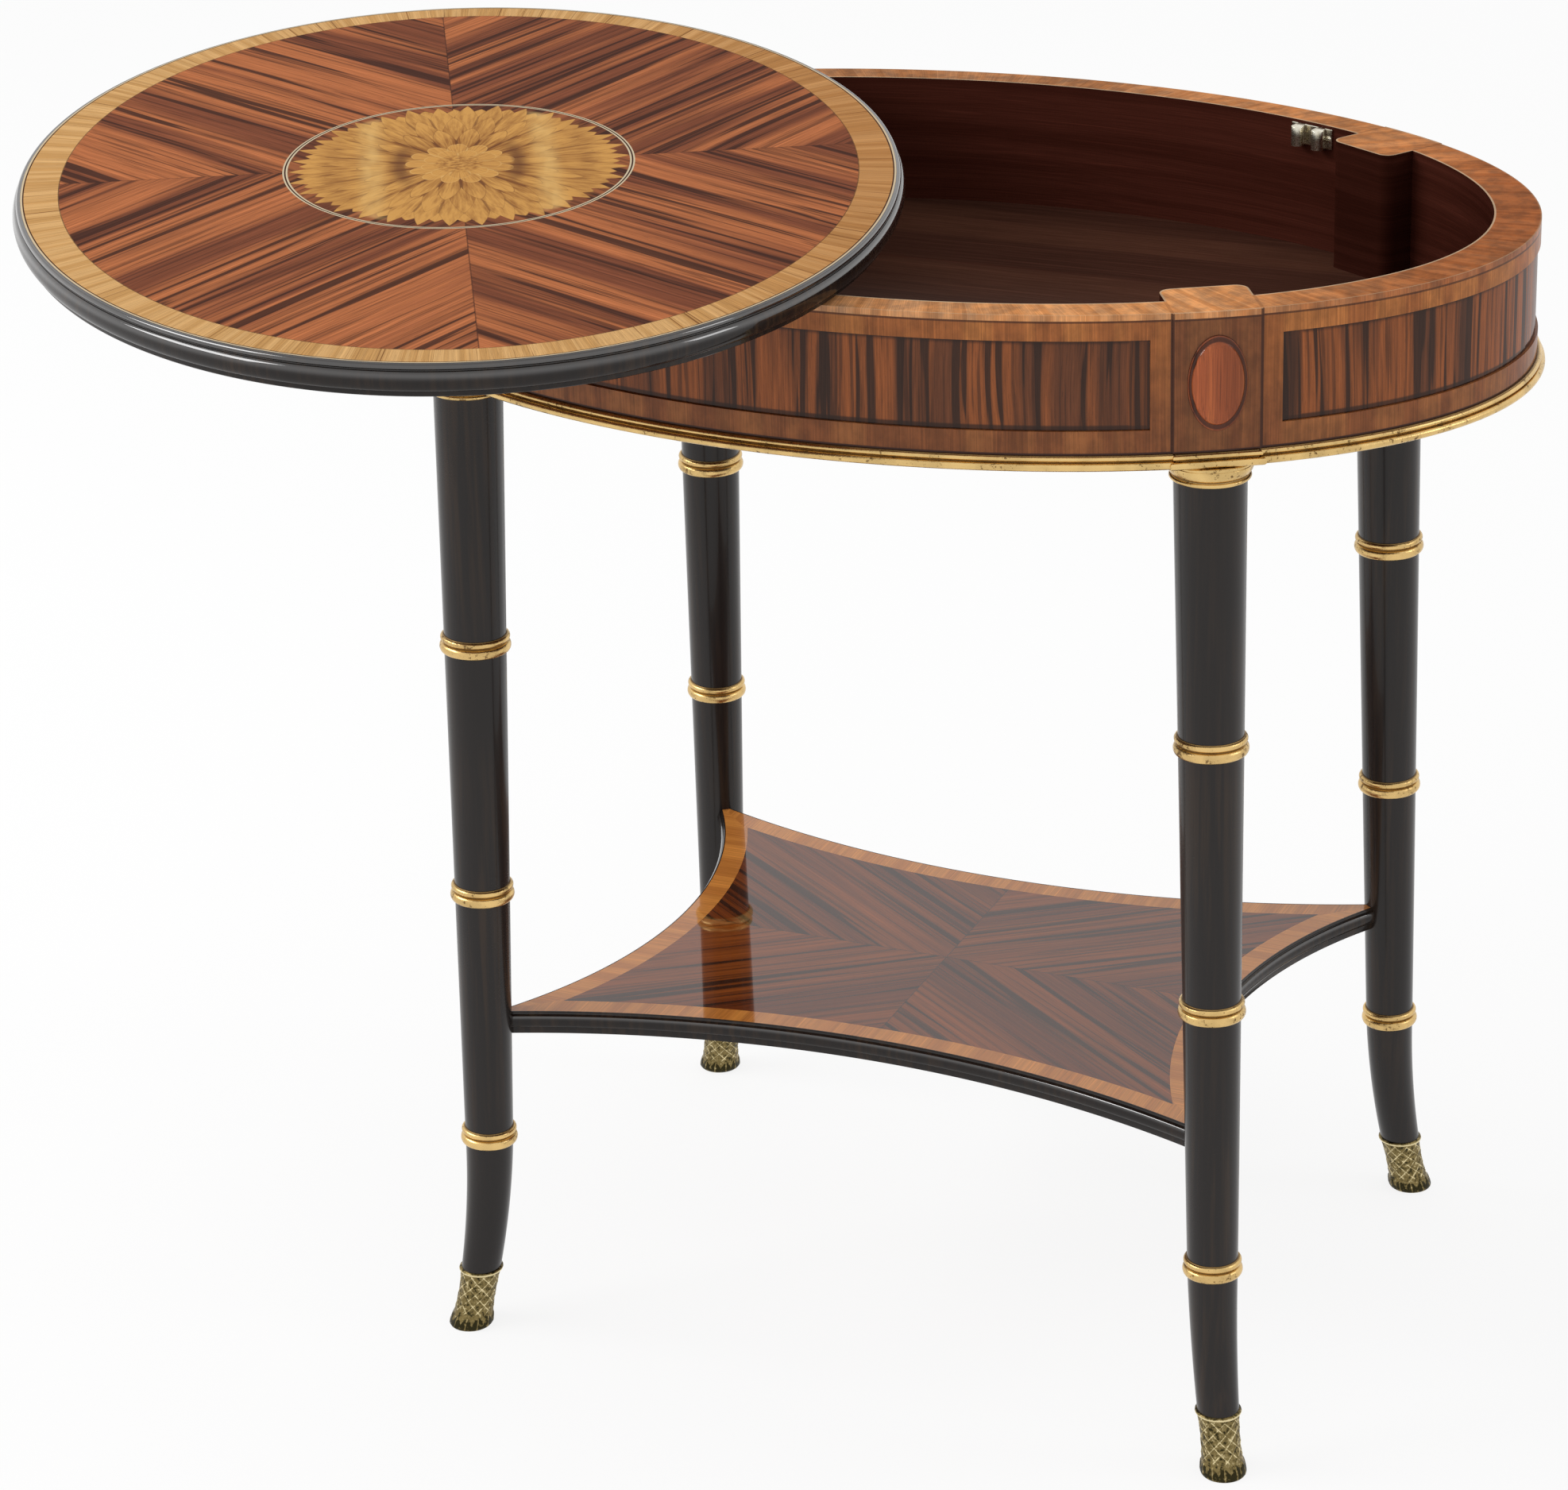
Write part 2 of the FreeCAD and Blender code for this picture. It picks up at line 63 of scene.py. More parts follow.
# Ovals as half length and half width
FRAME_OVAL = (343.0, 231.0)
WELL_OVAL = (317.0, 212.0)
BORDER_OVAL = (355.0, 243.0)
LEAF_OVAL = (334.0, 222.0)
MEDALLION_OVAL = (126.0, 98.5)

TABLE_TOP = 700.0
RIM = 682.0
CAP_FOOT = 678.5
FRAME_FOOT = 606.0
BOARD_FOOT = 598.0
PANEL_LOW, PANEL_HIGH = 619.0, 668.0
BLOCK_TURN = math.radians(48.8)
BLOCK_HALF = 23.5
BLOCK_DEPTH = 42.0
BLOCK_CORNER = 7.0
STILE = 11.3
CORNERS = ((1, 1), (-1, 1), (-1, -1), (1, -1))
CORNER_NAMES = ("back_right", "back_left", "front_left", "front_right")


def unit(values):
    """A vector divided by its length."""
    values = np.asarray(values, float)
    return values / np.linalg.norm(values)


BLOCK_POINT = np.array([FRAME_OVAL[0] * math.cos(BLOCK_TURN), FRAME_OVAL[1] * math.sin(BLOCK_TURN)])
BLOCK_OUT = unit([math.cos(BLOCK_TURN) / FRAME_OVAL[0], math.sin(BLOCK_TURN) / FRAME_OVAL[1]])
BLOCK_ALONG = np.array([BLOCK_OUT[1], -BLOCK_OUT[0]])
BLOCK_BOW = 339.0

# Legs, as the solids have them
LEG_HEAD = BLOCK_POINT - BLOCK_OUT * 16.6
SPLAY = np.array([10.8, 12.2])
KNEE, ANKLE, KICK = 122.0, 37.0, 15.2
RING_HEIGHTS = {"rings_upper": 436.5, "rings_middle": 281.7, "rings_lower": 123.9}

SHELF_TOP, SHELF_FOOT = 200.6, 186.6

# The shelf's sides are hollow arcs: how deep those at its ends and its long sides are, and how far in from
# the legs' middle lines they meet
END_HOLLOW, SIDE_HOLLOW, CORNER_SETBACK = 46.5, 43.4, 8.5

# The raised ovals: half width, half height and the height of their middle
PATERA_WIDE, PATERA_HIGH, PATERA_MIDDLE = 16.0, 26.0, 643.5


# Plane curves for profiles
def half_round(start, end, bulge, count=12):
    """Half an ellipse from start to end, swelling by bulge to its outward side: the middle, less half the
    chord times cos t, plus the bulge times sin t."""
    start, end = np.array(start, float), np.array(end, float)
    sweep = np.linspace(0.0, math.pi, count)[:, None]
    along = (end - start) / 2
    aside = unit([-along[1], along[0]]) * bulge
    return (start + end) / 2 - along * np.cos(sweep) + aside * np.sin(sweep)


def profile(*pieces):
    """Points and runs of points joined into one closed outline of (outward, up) pairs."""
    return np.vstack([np.atleast_2d(np.asarray(piece, float)) for piece in pieces])


# Meshes
def circle(count):
    """Equal turns round a circle."""
    return np.linspace(0.0, 2 * math.pi, count, endpoint=False)


def skin(rings, closed):
    """Faces between neighbouring rings of a (rings, points, 3) grid. Ring points run round and join up; the
    rings join up too when closed, and otherwise each end is shut by triangles to the middle of its ring."""
    count, size = rings.shape[:2]
    verts = rings.reshape(-1, 3)
    ring = np.arange(count if closed else count - 1)[:, None]
    spot = np.arange(size)[None, :]
    after, beside = (ring + 1) % count, (spot + 1) % size
    corners = [ring * size + spot, ring * size + beside, after * size + beside, after * size + spot]
    quads = np.stack(corners, -1)
    faces = quads.reshape(-1, 4).tolist()
    if not closed:
        spot, beside = np.arange(size), (np.arange(size) + 1) % size
        last = (count - 1) * size
        low = np.full(size, len(verts))
        faces += np.stack([beside, spot, low], -1).tolist()
        faces += np.stack([last + spot, last + beside, low + 1], -1).tolist()
        verts = np.vstack([verts, rings[0].mean(0), rings[-1].mean(0)])
    return verts, faces


def volume(verts, faces):
    """Signed volume of a closed skin: a sum of fans of tetrahedra from the origin."""
    total = 0.0
    for size in (3, 4):
        same = np.array([face for face in faces if len(face) == size])
        if len(same):
            corners = verts[same] - verts.mean(0)
            for step in range(1, size - 1):
                across = np.cross(corners[:, step], corners[:, step + 1])
                total += np.einsum("ij,ij->i", corners[:, 0], across).sum()
    return total / 6


def lathe(outline, count, radius=0.0):
    """A profile of (outward, up) pairs turned about the upright axis: x is (radius + outward) times cos t,
    and y the same times sin t."""
    turn = circle(count)[:, None]
    out = radius + outline[None, :, 0]
    up = np.broadcast_to(outline[None, :, 1], (count, len(outline)))
    return np.stack([out * np.cos(turn), out * np.sin(turn), up], -1)


def round_oval(outline, oval, top, turns):
    """A profile carried round an oval: at each turn t the point is (a + outward) times cos t along and
    (b + outward) times sin t across."""
    turns = np.asarray(turns, float)[:, None]
    out, up = outline[None, :, 0], outline[None, :, 1]
    x = (oval[0] + out) * np.cos(turns)
    y = (oval[1] + out) * np.sin(turns)
    return np.stack([x, y, np.broadcast_to(top + up, x.shape)], -1)


def tilted(points, axis, place):
    """Points turned so that their upright axis lies along the given one, then moved to a place."""
    up = unit(axis)
    side = unit(np.cross([0.0, 1.0, 0.0], up))
    basis = np.stack([side, np.cross(up, side), up])
    return points @ basis + np.asarray(place, float)


def at_corner(points, corner):
    """Points drawn for the back right corner, mirrored to another corner."""
    return points * np.array([corner[0], corner[1], 1.0])


def four(rings, closed=False):
    """A skin at each corner, from rings drawn for the back right one."""
    return [skin(at_corner(rings, corner), closed) for corner in CORNERS]


def on_block(along, out, up):
    """Points from places along, outward of and up a corner block, on the back right corner."""
    place = BLOCK_POINT + np.asarray(along)[..., None] * BLOCK_ALONG + np.asarray(out)[..., None] * BLOCK_OUT
    height = np.broadcast_to(np.asarray(up, float)[..., None], place.shape[:-1] + (1,))
    return np.concatenate([place, height], -1)


def swung(points):
    """Points of the closed top, turned clockwise about the pivot to where the top stands open."""
    turn = np.array([[math.cos(OPEN), math.sin(OPEN)], [-math.sin(OPEN), math.cos(OPEN)]])
    moved = np.array(points, float)
    moved[..., :2] = (moved[..., :2] - PIVOT) @ turn.T + PIVOT
    return moved


def piece(name, shells, body, slot, finish_name, replaces=(), sharp=40.0, relief=None):
    """Makes one mesh object from closed shells of (verts, faces), turned outward, and sets it on its body.
    relief holds numbers for a shell's vertices, 0 in a hollow and 1 on a crest, for the finishes to read."""
    verts, faces, start = [], [], 0
    for shell_verts, shell_faces in shells:
        if volume(shell_verts, shell_faces) < 0:
            shell_faces = [face[::-1] for face in shell_faces]
        verts.append(shell_verts * MM)
        faces += [[spot + start for spot in face] for face in shell_faces]
        start += len(shell_verts)
    mesh = bpy.data.meshes.new(name)
    mesh.from_pydata(np.vstack(verts).tolist(), [], faces)
    mesh.polygons.foreach_set("use_smooth", np.ones(len(mesh.polygons), bool))
    mesh.set_sharp_from_angle(angle=math.radians(sharp))
    if relief is not None:
        store = mesh.attributes.new("relief", "FLOAT", "POINT")
        store.data.foreach_set("value", np.concatenate(relief).astype(np.float32))
    mesh.update()
    made = bpy.data.objects.new(name, mesh)
    bpy.context.scene.collection.objects.link(made)
    made.data.materials.append(finish(finish_name))
    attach(made, body)
    if replaces:
        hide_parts(*replaces)
    return made


def profile_relief(outline, rings, capped):
    """One number a vertex for a swept profile: how far out it stands, as a share of the furthest point."""
    out = np.clip(outline[:, 0] / outline[:, 0].max(), 0.0, 1.0)
    values = np.tile(out, rings)
    return np.concatenate([values, [0.5, 0.5]]) if capped else values


# Shader nodes
class Wiring:
    """Places nodes in a tree. A number or colour goes on a socket itself, and a socket is linked to it."""

    def __init__(self, tree):
        """Takes the tree of a material, a world or a shared effect."""
        self.tree = tree

    def feed(self, node, sockets):
        """Sets or links a node's sockets, which go by number or by name, with underscores for spaces."""
        for key, value in sockets.items():
            socket = node.inputs[key.replace("_", " ") if isinstance(key, str) else key]
            if isinstance(value, bpy.types.NodeSocket):
                self.tree.links.new(value, socket)
            else:
                socket.default_value = value
        return node

    def put(self, kind, sockets, **settings):
        """Adds a node with its settings and what feeds its sockets."""
        node = self.tree.nodes.new(kind)
        for key, value in settings.items():
            setattr(node, key, value)
        return self.feed(node, sockets)

    def math(self, operation, *values, clamp=False):
        """The result of a Math node."""
        sockets = dict(enumerate(values))
        return self.put("ShaderNodeMath", sockets, operation=operation, use_clamp=clamp).outputs[0]

    add = partialmethod(math, "ADD")
    less = partialmethod(math, "SUBTRACT")
    times = partialmethod(math, "MULTIPLY")
    times_add = partialmethod(math, "MULTIPLY_ADD")
    over = partialmethod(math, "DIVIDE")
    power = partialmethod(math, "POWER")
    most = partialmethod(math, "MAXIMUM")
    least = partialmethod(math, "MINIMUM")
    size = partialmethod(math, "ABSOLUTE")

    def vector(self, operation, *values):
        """The result of a Vector Math node."""
        node = self.put("ShaderNodeVectorMath", dict(enumerate(values)), operation=operation)
        return node.outputs["Value" if operation in ("DOT_PRODUCT", "LENGTH") else "Vector"]

    def split(self, vector):
        """The three numbers of a vector."""
        return self.put("ShaderNodeSeparateXYZ", {0: vector}).outputs

    def join(self, x, y, z):
        """A vector from three numbers."""
        return self.put("ShaderNodeCombineXYZ", {0: x, 1: y, 2: z}).outputs[0]

    def noise(self, vector, stretch, detail=3.0, roughness=0.55):
        """Noise whose features are one over stretch metres long each way."""
        scaled = self.vector("MULTIPLY", vector, stretch if isinstance(stretch, tuple) else (stretch,) * 3)
        sockets = {"Vector": scaled, "Scale": 1.0, "Detail": detail, "Roughness": roughness}
        return self.put("ShaderNodeTexNoise", sockets).outputs[0]

    def chance(self, index):
        """A number from 0 to 1 for each whole number."""
        return self.put("ShaderNodeTexWhiteNoise", {"W": index}, noise_dimensions="1D").outputs["Value"]

    def slope(self, value, low, high, start=0.0, end=1.0):
        """A smooth step of a value from start at low to end at high."""
        sockets = {"Value": value, "From Min": low, "From Max": high, "To Min": start, "To Max": end}
        return self.put("ShaderNodeMapRange", sockets, interpolation_type="SMOOTHSTEP").outputs[0]

    def hump(self, value, centre, half):
        """One at a centre, falling smoothly to nought half a width away."""
        return self.slope(self.size(self.less(value, centre)), half, 0.0)

    def blend(self, share, first, second, mode="MIX"):
        """Two colours mixed by a share."""
        node = self.put("ShaderNodeMix", {0: share, 6: first, 7: second}, data_type="RGBA", blend_type=mode)
        return node.outputs[2]

    def toned(self, colour, red, green=None, blue=None):
        """A colour times one number, or times a number for each of red, green and blue."""
        factor = self.join(red, red if green is None else green, red if blue is None else blue)
        return self.blend(1.0, colour, factor, "MULTIPLY")

    def relief(self):
        """The piece's own relief, 0 in a hollow and 1 on a crest."""
        return self.put("ShaderNodeAttribute", {}, attribute_name="relief").outputs["Fac"]

    def seen(self):
        """One for rays from the camera, from a mirror and through glass, nought for the others."""
        rays = self.put("ShaderNodeLightPath", {}).outputs
        return self.most(rays["Is Camera Ray"], self.most(rays["Is Glossy Ray"], rays["Is Transmission Ray"]))

    def group(self, tree, **sockets):
        """What a shared effect gives, placed here."""
        return self.put("ShaderNodeGroup", sockets, node_tree=tree).outputs

    def give(self, **results):
        """Links what a shared effect gives, and hands back its tree."""
        self.put("NodeGroupOutput", results)
        return self.tree


NUMBER, COLOUR, VECTOR = "NodeSocketFloat", "NodeSocketColor", "NodeSocketVector"
TONES = {"Light": COLOUR, "Warm": COLOUR, "Dark": COLOUR}
SURFACE = {"Color": COLOUR, "Roughness": NUMBER, "Height": NUMBER}


def effect(name, inputs, outputs):
    """Opens a shared effect and gives a Wiring for it and the sockets that come in. Inputs and outputs are
    kinds by name, and a number among the inputs is a number's default."""
    tree = bpy.data.node_groups.new(name, "ShaderNodeTree")
    for label, kind in inputs.items():
        number = isinstance(kind, float)
        socket = tree.interface.new_socket(label, in_out="INPUT", socket_type=NUMBER if number else kind)
        if number:
            socket.default_value = kind
    for label, kind in outputs.items():
        tree.interface.new_socket(label, in_out="OUTPUT", socket_type=kind)
    wiring = Wiring(tree)
    return wiring, *wiring.put("NodeGroupInput", {}).outputs[:len(inputs)]


def oval_reading():
    """Where a point lies against an oval: its share of the way out, its depth inside the edge in metres
    (one less the share, over the length of the share's slope), its turn round the oval and its direction."""
    w, vector, half_length, half_width = effect(
        "Oval reading",
        {"Vector": VECTOR, "Half Length": 0.3, "Half Width": 0.2},
        {"Share": NUMBER, "Depth": NUMBER, "Turn": NUMBER, "Direction": VECTOR},
    )
    x, y, _ = w.split(vector)
    across_x = w.over(x, half_length)
    across_y = w.over(y, half_width)
    scaled = w.join(across_x, across_y, 0.0)
    share = w.most(w.vector("LENGTH", scaled), 0.0001)
    steep = w.join(w.over(across_x, half_length), w.over(across_y, half_width), 0.0)
    slope = w.over(w.most(w.vector("LENGTH", steep), 0.0001), share)
    depth = w.over(w.less(1.0, share), slope)
    turn = w.over(w.math("ARCTAN2", across_y, across_x), 2 * math.pi)
    return w.give(Share=share, Depth=depth, Turn=turn, Direction=w.vector("NORMALIZE", scaled))


def inked_line():
    """One on a line of a given width about a given distance, nought elsewhere."""
    inputs = {"Distance": 0.0, "Centre": 0.0, "Width": 0.001}
    w, distance, centre, width = effect("Inked line", inputs, {"Mask": NUMBER})
    off = w.size(w.less(distance, centre))
    near = w.over(off, w.times(width, 0.5))
    return w.give(Mask=w.slope(near, 1.25, 0.75))


def streaked_wood():
    """Veneer whose grain runs along the vector's first axis: bands of tone, long dark streaks, thin lines,
    fibres and pores. Each is noise drawn out along the grain, and the streaks are where it falls below a
    level."""
    inputs = {"Vector": VECTOR, **TONES, "Streaks": 0.5, "Fineness": 1.0}
    w, place, light, warm, dark, streaks, fineness = effect("Streaked wood", inputs, SURFACE)
    drift = w.noise(place, (3.0, 9.0, 9.0), 1.0)
    shift = w.times(w.less(drift, 0.5), 0.012)
    place = w.vector("ADD", place, w.join(0.0, shift, shift))
    along, side, rise = w.split(place)
    place = w.join(along, w.times(side, fineness), w.times(rise, fineness))
    broad = w.noise(place, (1.7, 40.0, 40.0), 2.0, 0.5)
    streak = w.noise(place, (2.2, 150.0, 150.0), 2.0, 0.45)
    thin = w.noise(place, (4.0, 380.0, 380.0), 2.0, 0.5)
    fibre = w.noise(place, (22.0, 900.0, 900.0), 2.0)
    pore = w.noise(place, (75.0, 1700.0, 1700.0), 1.0)
    tone = w.slope(broad, 0.4, 0.6)
    colour = w.blend(tone, light, warm)
    level = w.times_add(streaks, 0.2, 0.3)
    # Streaks gather a little in the darker bands of tone
    level = w.times_add(w.less(tone, 0.5), 0.01, level)
    under = w.less(level, streak)
    bold = w.slope(under, -0.018, 0.03)
    soft = w.slope(under, -0.08, 0.0, 0.0, 0.35)
    line = w.slope(w.less(level, thin), -0.045, 0.04, 0.0, 0.6)
    mask = w.most(w.most(bold, soft), line)
    colour = w.blend(w.times(mask, 0.9), colour, dark)
    gleam = w.slope(thin, 0.56, 0.68, 1.0, 1.22)
    lift = w.times(w.slope(fibre, 0.3, 0.7, 0.84, 1.14), gleam)
    specks = w.slope(pore, 0.33, 0.27, 0.0, 0.3)
    colour = w.blend(specks, w.toned(colour, lift), dark)
    rough = w.add(w.times(mask, 0.05), w.times(fibre, 0.1))
    return w.give(Color=colour, Roughness=rough, Height=w.less(fibre, w.times(specks, 1.5)))


def matched_rosewood(streaked):
    """Four leaves laid about a middle: each leaf's grain runs outward at an angle, mirrored from the next."""
    w, vector, grain_x, grain_y, light, warm, dark, streaks = effect(
        "Matched rosewood",
        {"Vector": VECTOR, "Grain X": 0.79, "Grain Y": 0.61, **TONES, "Streaks": 0.5},
        SURFACE,
    )
    x, y, _ = w.split(vector)
    side_x, side_y = w.math("SIGN", x), w.math("SIGN", y)
    flat_x, flat_y = w.size(x), w.size(y)
    along = w.add(w.times(flat_x, grain_x), w.times(flat_y, grain_y))
    across = w.less(w.times(flat_y, grain_x), w.times(flat_x, grain_y))
    # Neighbouring leaves come from further down the same flitch, so their streaks nearly meet
    slip = w.add(w.times(side_x, 0.021), w.times(side_y, 0.047))
    tones = {"Light": light, "Warm": warm, "Dark": dark}
    leaf = w.join(along, across, slip)
    wood = w.group(streaked, Vector=leaf, Streaks=streaks, Fineness=1.0, **tones)
    seam = w.slope(w.least(flat_x, flat_y), 0.0005, 0.0002, 0.0, 0.6)
    colour = w.blend(seam, wood["Color"], dark)
    return w.give(Color=colour, Roughness=wood["Roughness"], Height=w.less(wood["Height"], seam))


def banded_veneer(streaked):
    """Crossbanding: short grain across a band that follows an oval, pieced from lengths of differing tone."""
    inputs = {"Depth": 0.0, "Turn": 0.0, "Direction": VECTOR, **TONES}
    inputs.update({"Lengths": 24.0, "Variety": 0.1, "Streaks": 0.0})
    w, depth, turn, direction, *tones, lengths, variety, streaks = effect("Crossbanding", inputs, SURFACE)
    side_x, side_y, _ = w.split(w.vector("MULTIPLY", direction, (0.3, 0.3, 0.3)))
    strip = w.chance(w.math("FLOOR", w.times(turn, lengths)))
    place = w.join(depth, w.add(side_x, strip), side_y)
    wood = w.group(streaked, Vector=place, Streaks=streaks, Fineness=3.2, **dict(zip(TONES, tones)))
    colour = w.toned(wood["Color"], w.times_add(strip, variety, 1.0))
    return w.give(Color=colour, Roughness=wood["Roughness"], Height=wood["Height"])


def gilding():
    """Water-gilt metal leaf over a brown ground: rubbed through in specks, dark wax lying in the hollows."""
    inputs = {"Vector": VECTOR, "Gold": COLOUR, "Ground": COLOUR, "Relief": 1.0, "Rub": 0.5}
    w, vector, gold, ground, relief, rub = effect("Gilding", inputs, SURFACE)
    broad = w.noise(vector, 60.0, 3.0)
    speck = w.noise(vector, 420.0, 4.0, 0.65)
    grit = w.noise(vector, 1500.0, 2.0)
    hollow = w.slope(relief, 0.45, 0.05)
    arris_highlight = w.add(w.times(w.less(broad, 0.5), 0.5), speck)
    level = w.times_add(rub, 0.22, 0.3)
    mask = w.slope(w.less(level, arris_highlight), -0.02, 0.09, 0.0, 0.8)
    mask = w.most(mask, w.times(hollow, 0.85))
    gold = w.toned(gold, w.slope(broad, 0.3, 0.7, 0.82, 1.1))
    rough = w.times_add(mask, 0.3, w.times_add(speck, 0.2, 0.16))
    height = w.add(w.times(speck, 0.8), w.times(grit, 0.3))
    return w.give(Color=w.blend(mask, gold, ground), Roughness=rough, Height=height)


def lacquer():
    """Ebonised wood under lacquer: near black, with faint brown grain rising through and an uneven gloss."""
    inputs = {"Vector": VECTOR, "Black": COLOUR, "Brown": COLOUR, "Gloss": 0.2}
    w, vector, black, brown, gloss = effect("Ebonised lacquer", inputs, SURFACE)
    grain = w.noise(vector, (260.0, 260.0, 9.0), 3.0)
    cloud = w.noise(vector, (18.0, 18.0, 6.0), 2.0)
    dust = w.noise(vector, 900.0, 2.0)
    share = w.times(w.slope(grain, 0.4, 0.68), w.slope(cloud, 0.3, 0.65))
    rough = w.times_add(cloud, 0.12, w.times_add(dust, 0.06, gloss))
    height = w.times_add(grain, 0.5, w.times(dust, 0.25))
    return w.give(Color=w.blend(share, black, brown), Roughness=rough, Height=height)


def petal_ring():
    """A ring of pointed petals about an oval's middle. With t from 0 on a petal's middle line to 1 at its
    side, its edge lies at tip less notch times t to a power. It gives what is inside, the inked edge, t and a
    tone."""
    w, share, turn, count, shift, tip, notch, power = effect(
        "Petal ring",
        {"Share": 0.5, "Turn": 0.0, "Count": 32.0, "Shift": 0.0, "Tip": 0.9, "Notch": 0.15, "Power": 1.4},
        {"Inside": NUMBER, "Edge": NUMBER, "Across": NUMBER, "Tone": NUMBER},
    )
    step = w.times_add(turn, count, shift)
    tone = w.chance(w.math("FLOOR", step))
    across = w.times(w.size(w.less(w.math("FRACT", step), 0.5)), 2.0)
    swell = w.times_add(tone, 0.03, tip)
    edge = w.less(swell, w.times(w.power(across, power), notch))
    gap = w.less(edge, share)
    inside = w.slope(gap, 0.0, 0.006)
    rim = w.slope(w.size(gap), 0.013, 0.004)
    start = w.times_add(w.over(share, tip), 0.32, 0.62)
    side = w.times(w.slope(w.less(across, start), 0.0, 0.08), inside)
    return w.give(Inside=inside, Edge=w.most(rim, side), Across=across, Tone=tone)


def srgb(red, green, blue):
    """A colour as it looks on a screen, from 0 to 255, turned into the linear values that shaders take."""
    values = np.array([red, green, blue]) / 255.0
    linear = np.where(values <= 0.04045, values / 12.92, ((values + 0.055) / 1.055) ** 2.4)
    return tuple(float(value) for value in linear)


def colour(name, description, red, green, blue):
    """A colour setting."""
    kind = {"subtype": "COLOR", "size": 3, "min": 0.0, "max": 1.0}
    return FloatVectorProperty(name=name, description=description, default=srgb(red, green, blue), **kind)


def amount(name, description, default, unit="POWER"):
    """A number from nought up."""
    return FloatProperty(name=name, description=description, default=default, min=0.0, unit=unit)


def steps(name, description, default, least):
    """How many of something run round a piece."""
    return IntProperty(name=name, description=description, default=default, min=least)


class SideTableFinishes(bpy.types.PropertyGroup):
    """Colours of the woods and metals."""

    rosewood_light: colour("Rosewood light", "Palest wood of the matched leaves", 176, 105, 65)
    rosewood_warm: colour("Rosewood warm", "Middle tone of the matched leaves", 122, 69, 47)
    rosewood_dark: colour("Rosewood streak", "Dark streaks of the matched leaves", 62, 37, 30)
    band_light: colour("Crossband light", "Palest wood of the top's crossbanding", 208, 164, 108)
    band_warm: colour("Crossband warm", "Middle tone of the top's crossbanding", 190, 144, 88)
    band_dark: colour("Crossband dark", "Fibres of the top's crossbanding", 120, 76, 38)
    shelf_light: colour("Shelf light", "Palest wood of the shelf's leaves", 134, 68, 24)
    shelf_warm: colour("Shelf warm", "Middle tone of the shelf's leaves", 106, 50, 20)
    shelf_dark: colour("Shelf streak", "Dark streaks of the shelf's leaves", 48, 25, 15)
    shelf_band_light: colour("Shelf band light", "Palest wood of the shelf's crossbanding", 210, 136, 62)
    shelf_band_warm: colour("Shelf band warm", "Middle tone of the shelf's crossbanding", 190, 118, 52)
    apron_light: colour("Apron light", "Palest wood of the frame's veneer", 143, 88, 52)
    apron_warm: colour("Apron warm", "Middle tone of the frame's veneer", 126, 73, 43)
    # Apron dark also colours painted shadow beside the blocks, over the gilt moulding and in the raised
    # ovals' grooves
    apron_dark: colour("Apron dark", "Fibres and joint lines of the frame's veneer", 60, 32, 22)
    rim_light: colour("Rim light", "Palest wood of the banding on the rim", 203, 143, 93)
    rim_warm: colour("Rim warm", "Middle tone of the banding on the rim", 186, 125, 76)
    panel_light: colour("Panel light", "Palest wood of the upright panels", 142, 79, 40)
    panel_warm: colour("Panel warm", "Middle tone of the upright panels", 100, 57, 34)
    # Panel dark also colours the painted shadow along the panels' edges
    panel_dark: colour("Panel dark", "Streaks of the upright panels", 46, 29, 21)
    patera_light: colour("Patera light", "Palest wood of the raised ovals", 192, 108, 58)
    patera_warm: colour("Patera warm", "Middle tone of the raised ovals", 160, 82, 46)
    well_light: colour("Well light", "Palest wood inside the well", 76, 37, 28)
    floor_light: colour("Floor light", "Palest wood of the well's floor", 80, 50, 38)
    floor_dark: colour("Floor dark", "Darkest wood of the well's floor", 66, 40, 31)
    well_dark: colour("Well dark", "Darkest wood inside the well", 65, 30, 22)
    inlay_light: colour("Inlay light", "Palest wood of the petals", 204, 151, 82)
    inlay_shade: colour("Inlay shade", "Sand-shaded wood of the petals", 142, 92, 48)
    inlay_ink: colour("Inlay line", "Lines between the petals", 104, 64, 40)
    inlay_pale: colour("Inlay pale", "Palest figure of the petals and the flower's outline", 226, 186, 118)
    # Stringing also colours the painted highlights on the rim's arrises
    stringing: colour("Stringing", "Pale lines let into the top", 206, 190, 160)
    ebony: colour("Ebony", "Black of the mouldings and legs", 30, 25, 23)
    ebony_brown: colour("Ebony brown", "Grain that shows through the black", 50, 38, 29)
    gilt: colour("Gilt", "Metal leaf on the mouldings and rings", 218, 184, 122)
    gilt_ground: colour("Gilt ground", "Ground that shows where the leaf is rubbed", 88, 60, 34)
    cast_brass: colour("Cast brass", "Crests of the cast feet", 222, 206, 160)
    cast_dark: colour("Cast dark", "Nearly black patina between the leaves of the cast feet", 50, 46, 28)
    cast_patina: colour("Cast patina", "Dark hollows of the cast feet", 126, 110, 70)


class SideTableStudio(bpy.types.PropertyGroup):
    """Light round the table."""

    dome: amount("Dome", "Strength of the even white light", 0.74, "NONE")
    key: amount("Key", "Power of the large lamp", 48.0)
    side: amount("Side", "Power of the lamp on the right", 6.0)


class SideTableDetail(bpy.types.PropertyGroup):
    """How finely the pieces are made."""

    oval_steps: steps("Oval steps", "Steps round the ovals", 360, 60)
    turned_steps: steps("Turned steps", "Steps round turned pieces", 72, 24)
    foot_steps: steps("Foot steps", "Steps round a cast foot", 210, 60)
    lattice_count: steps("Lattice", "Lozenges round a cast foot", 10, 5)
    leaf_count: steps("Leaves", "Leaves round a cast foot", 11, 5)
    lattice_rise: amount("Lattice rise", "Rise of the lozenge lines in mm", 0.45, "NONE")


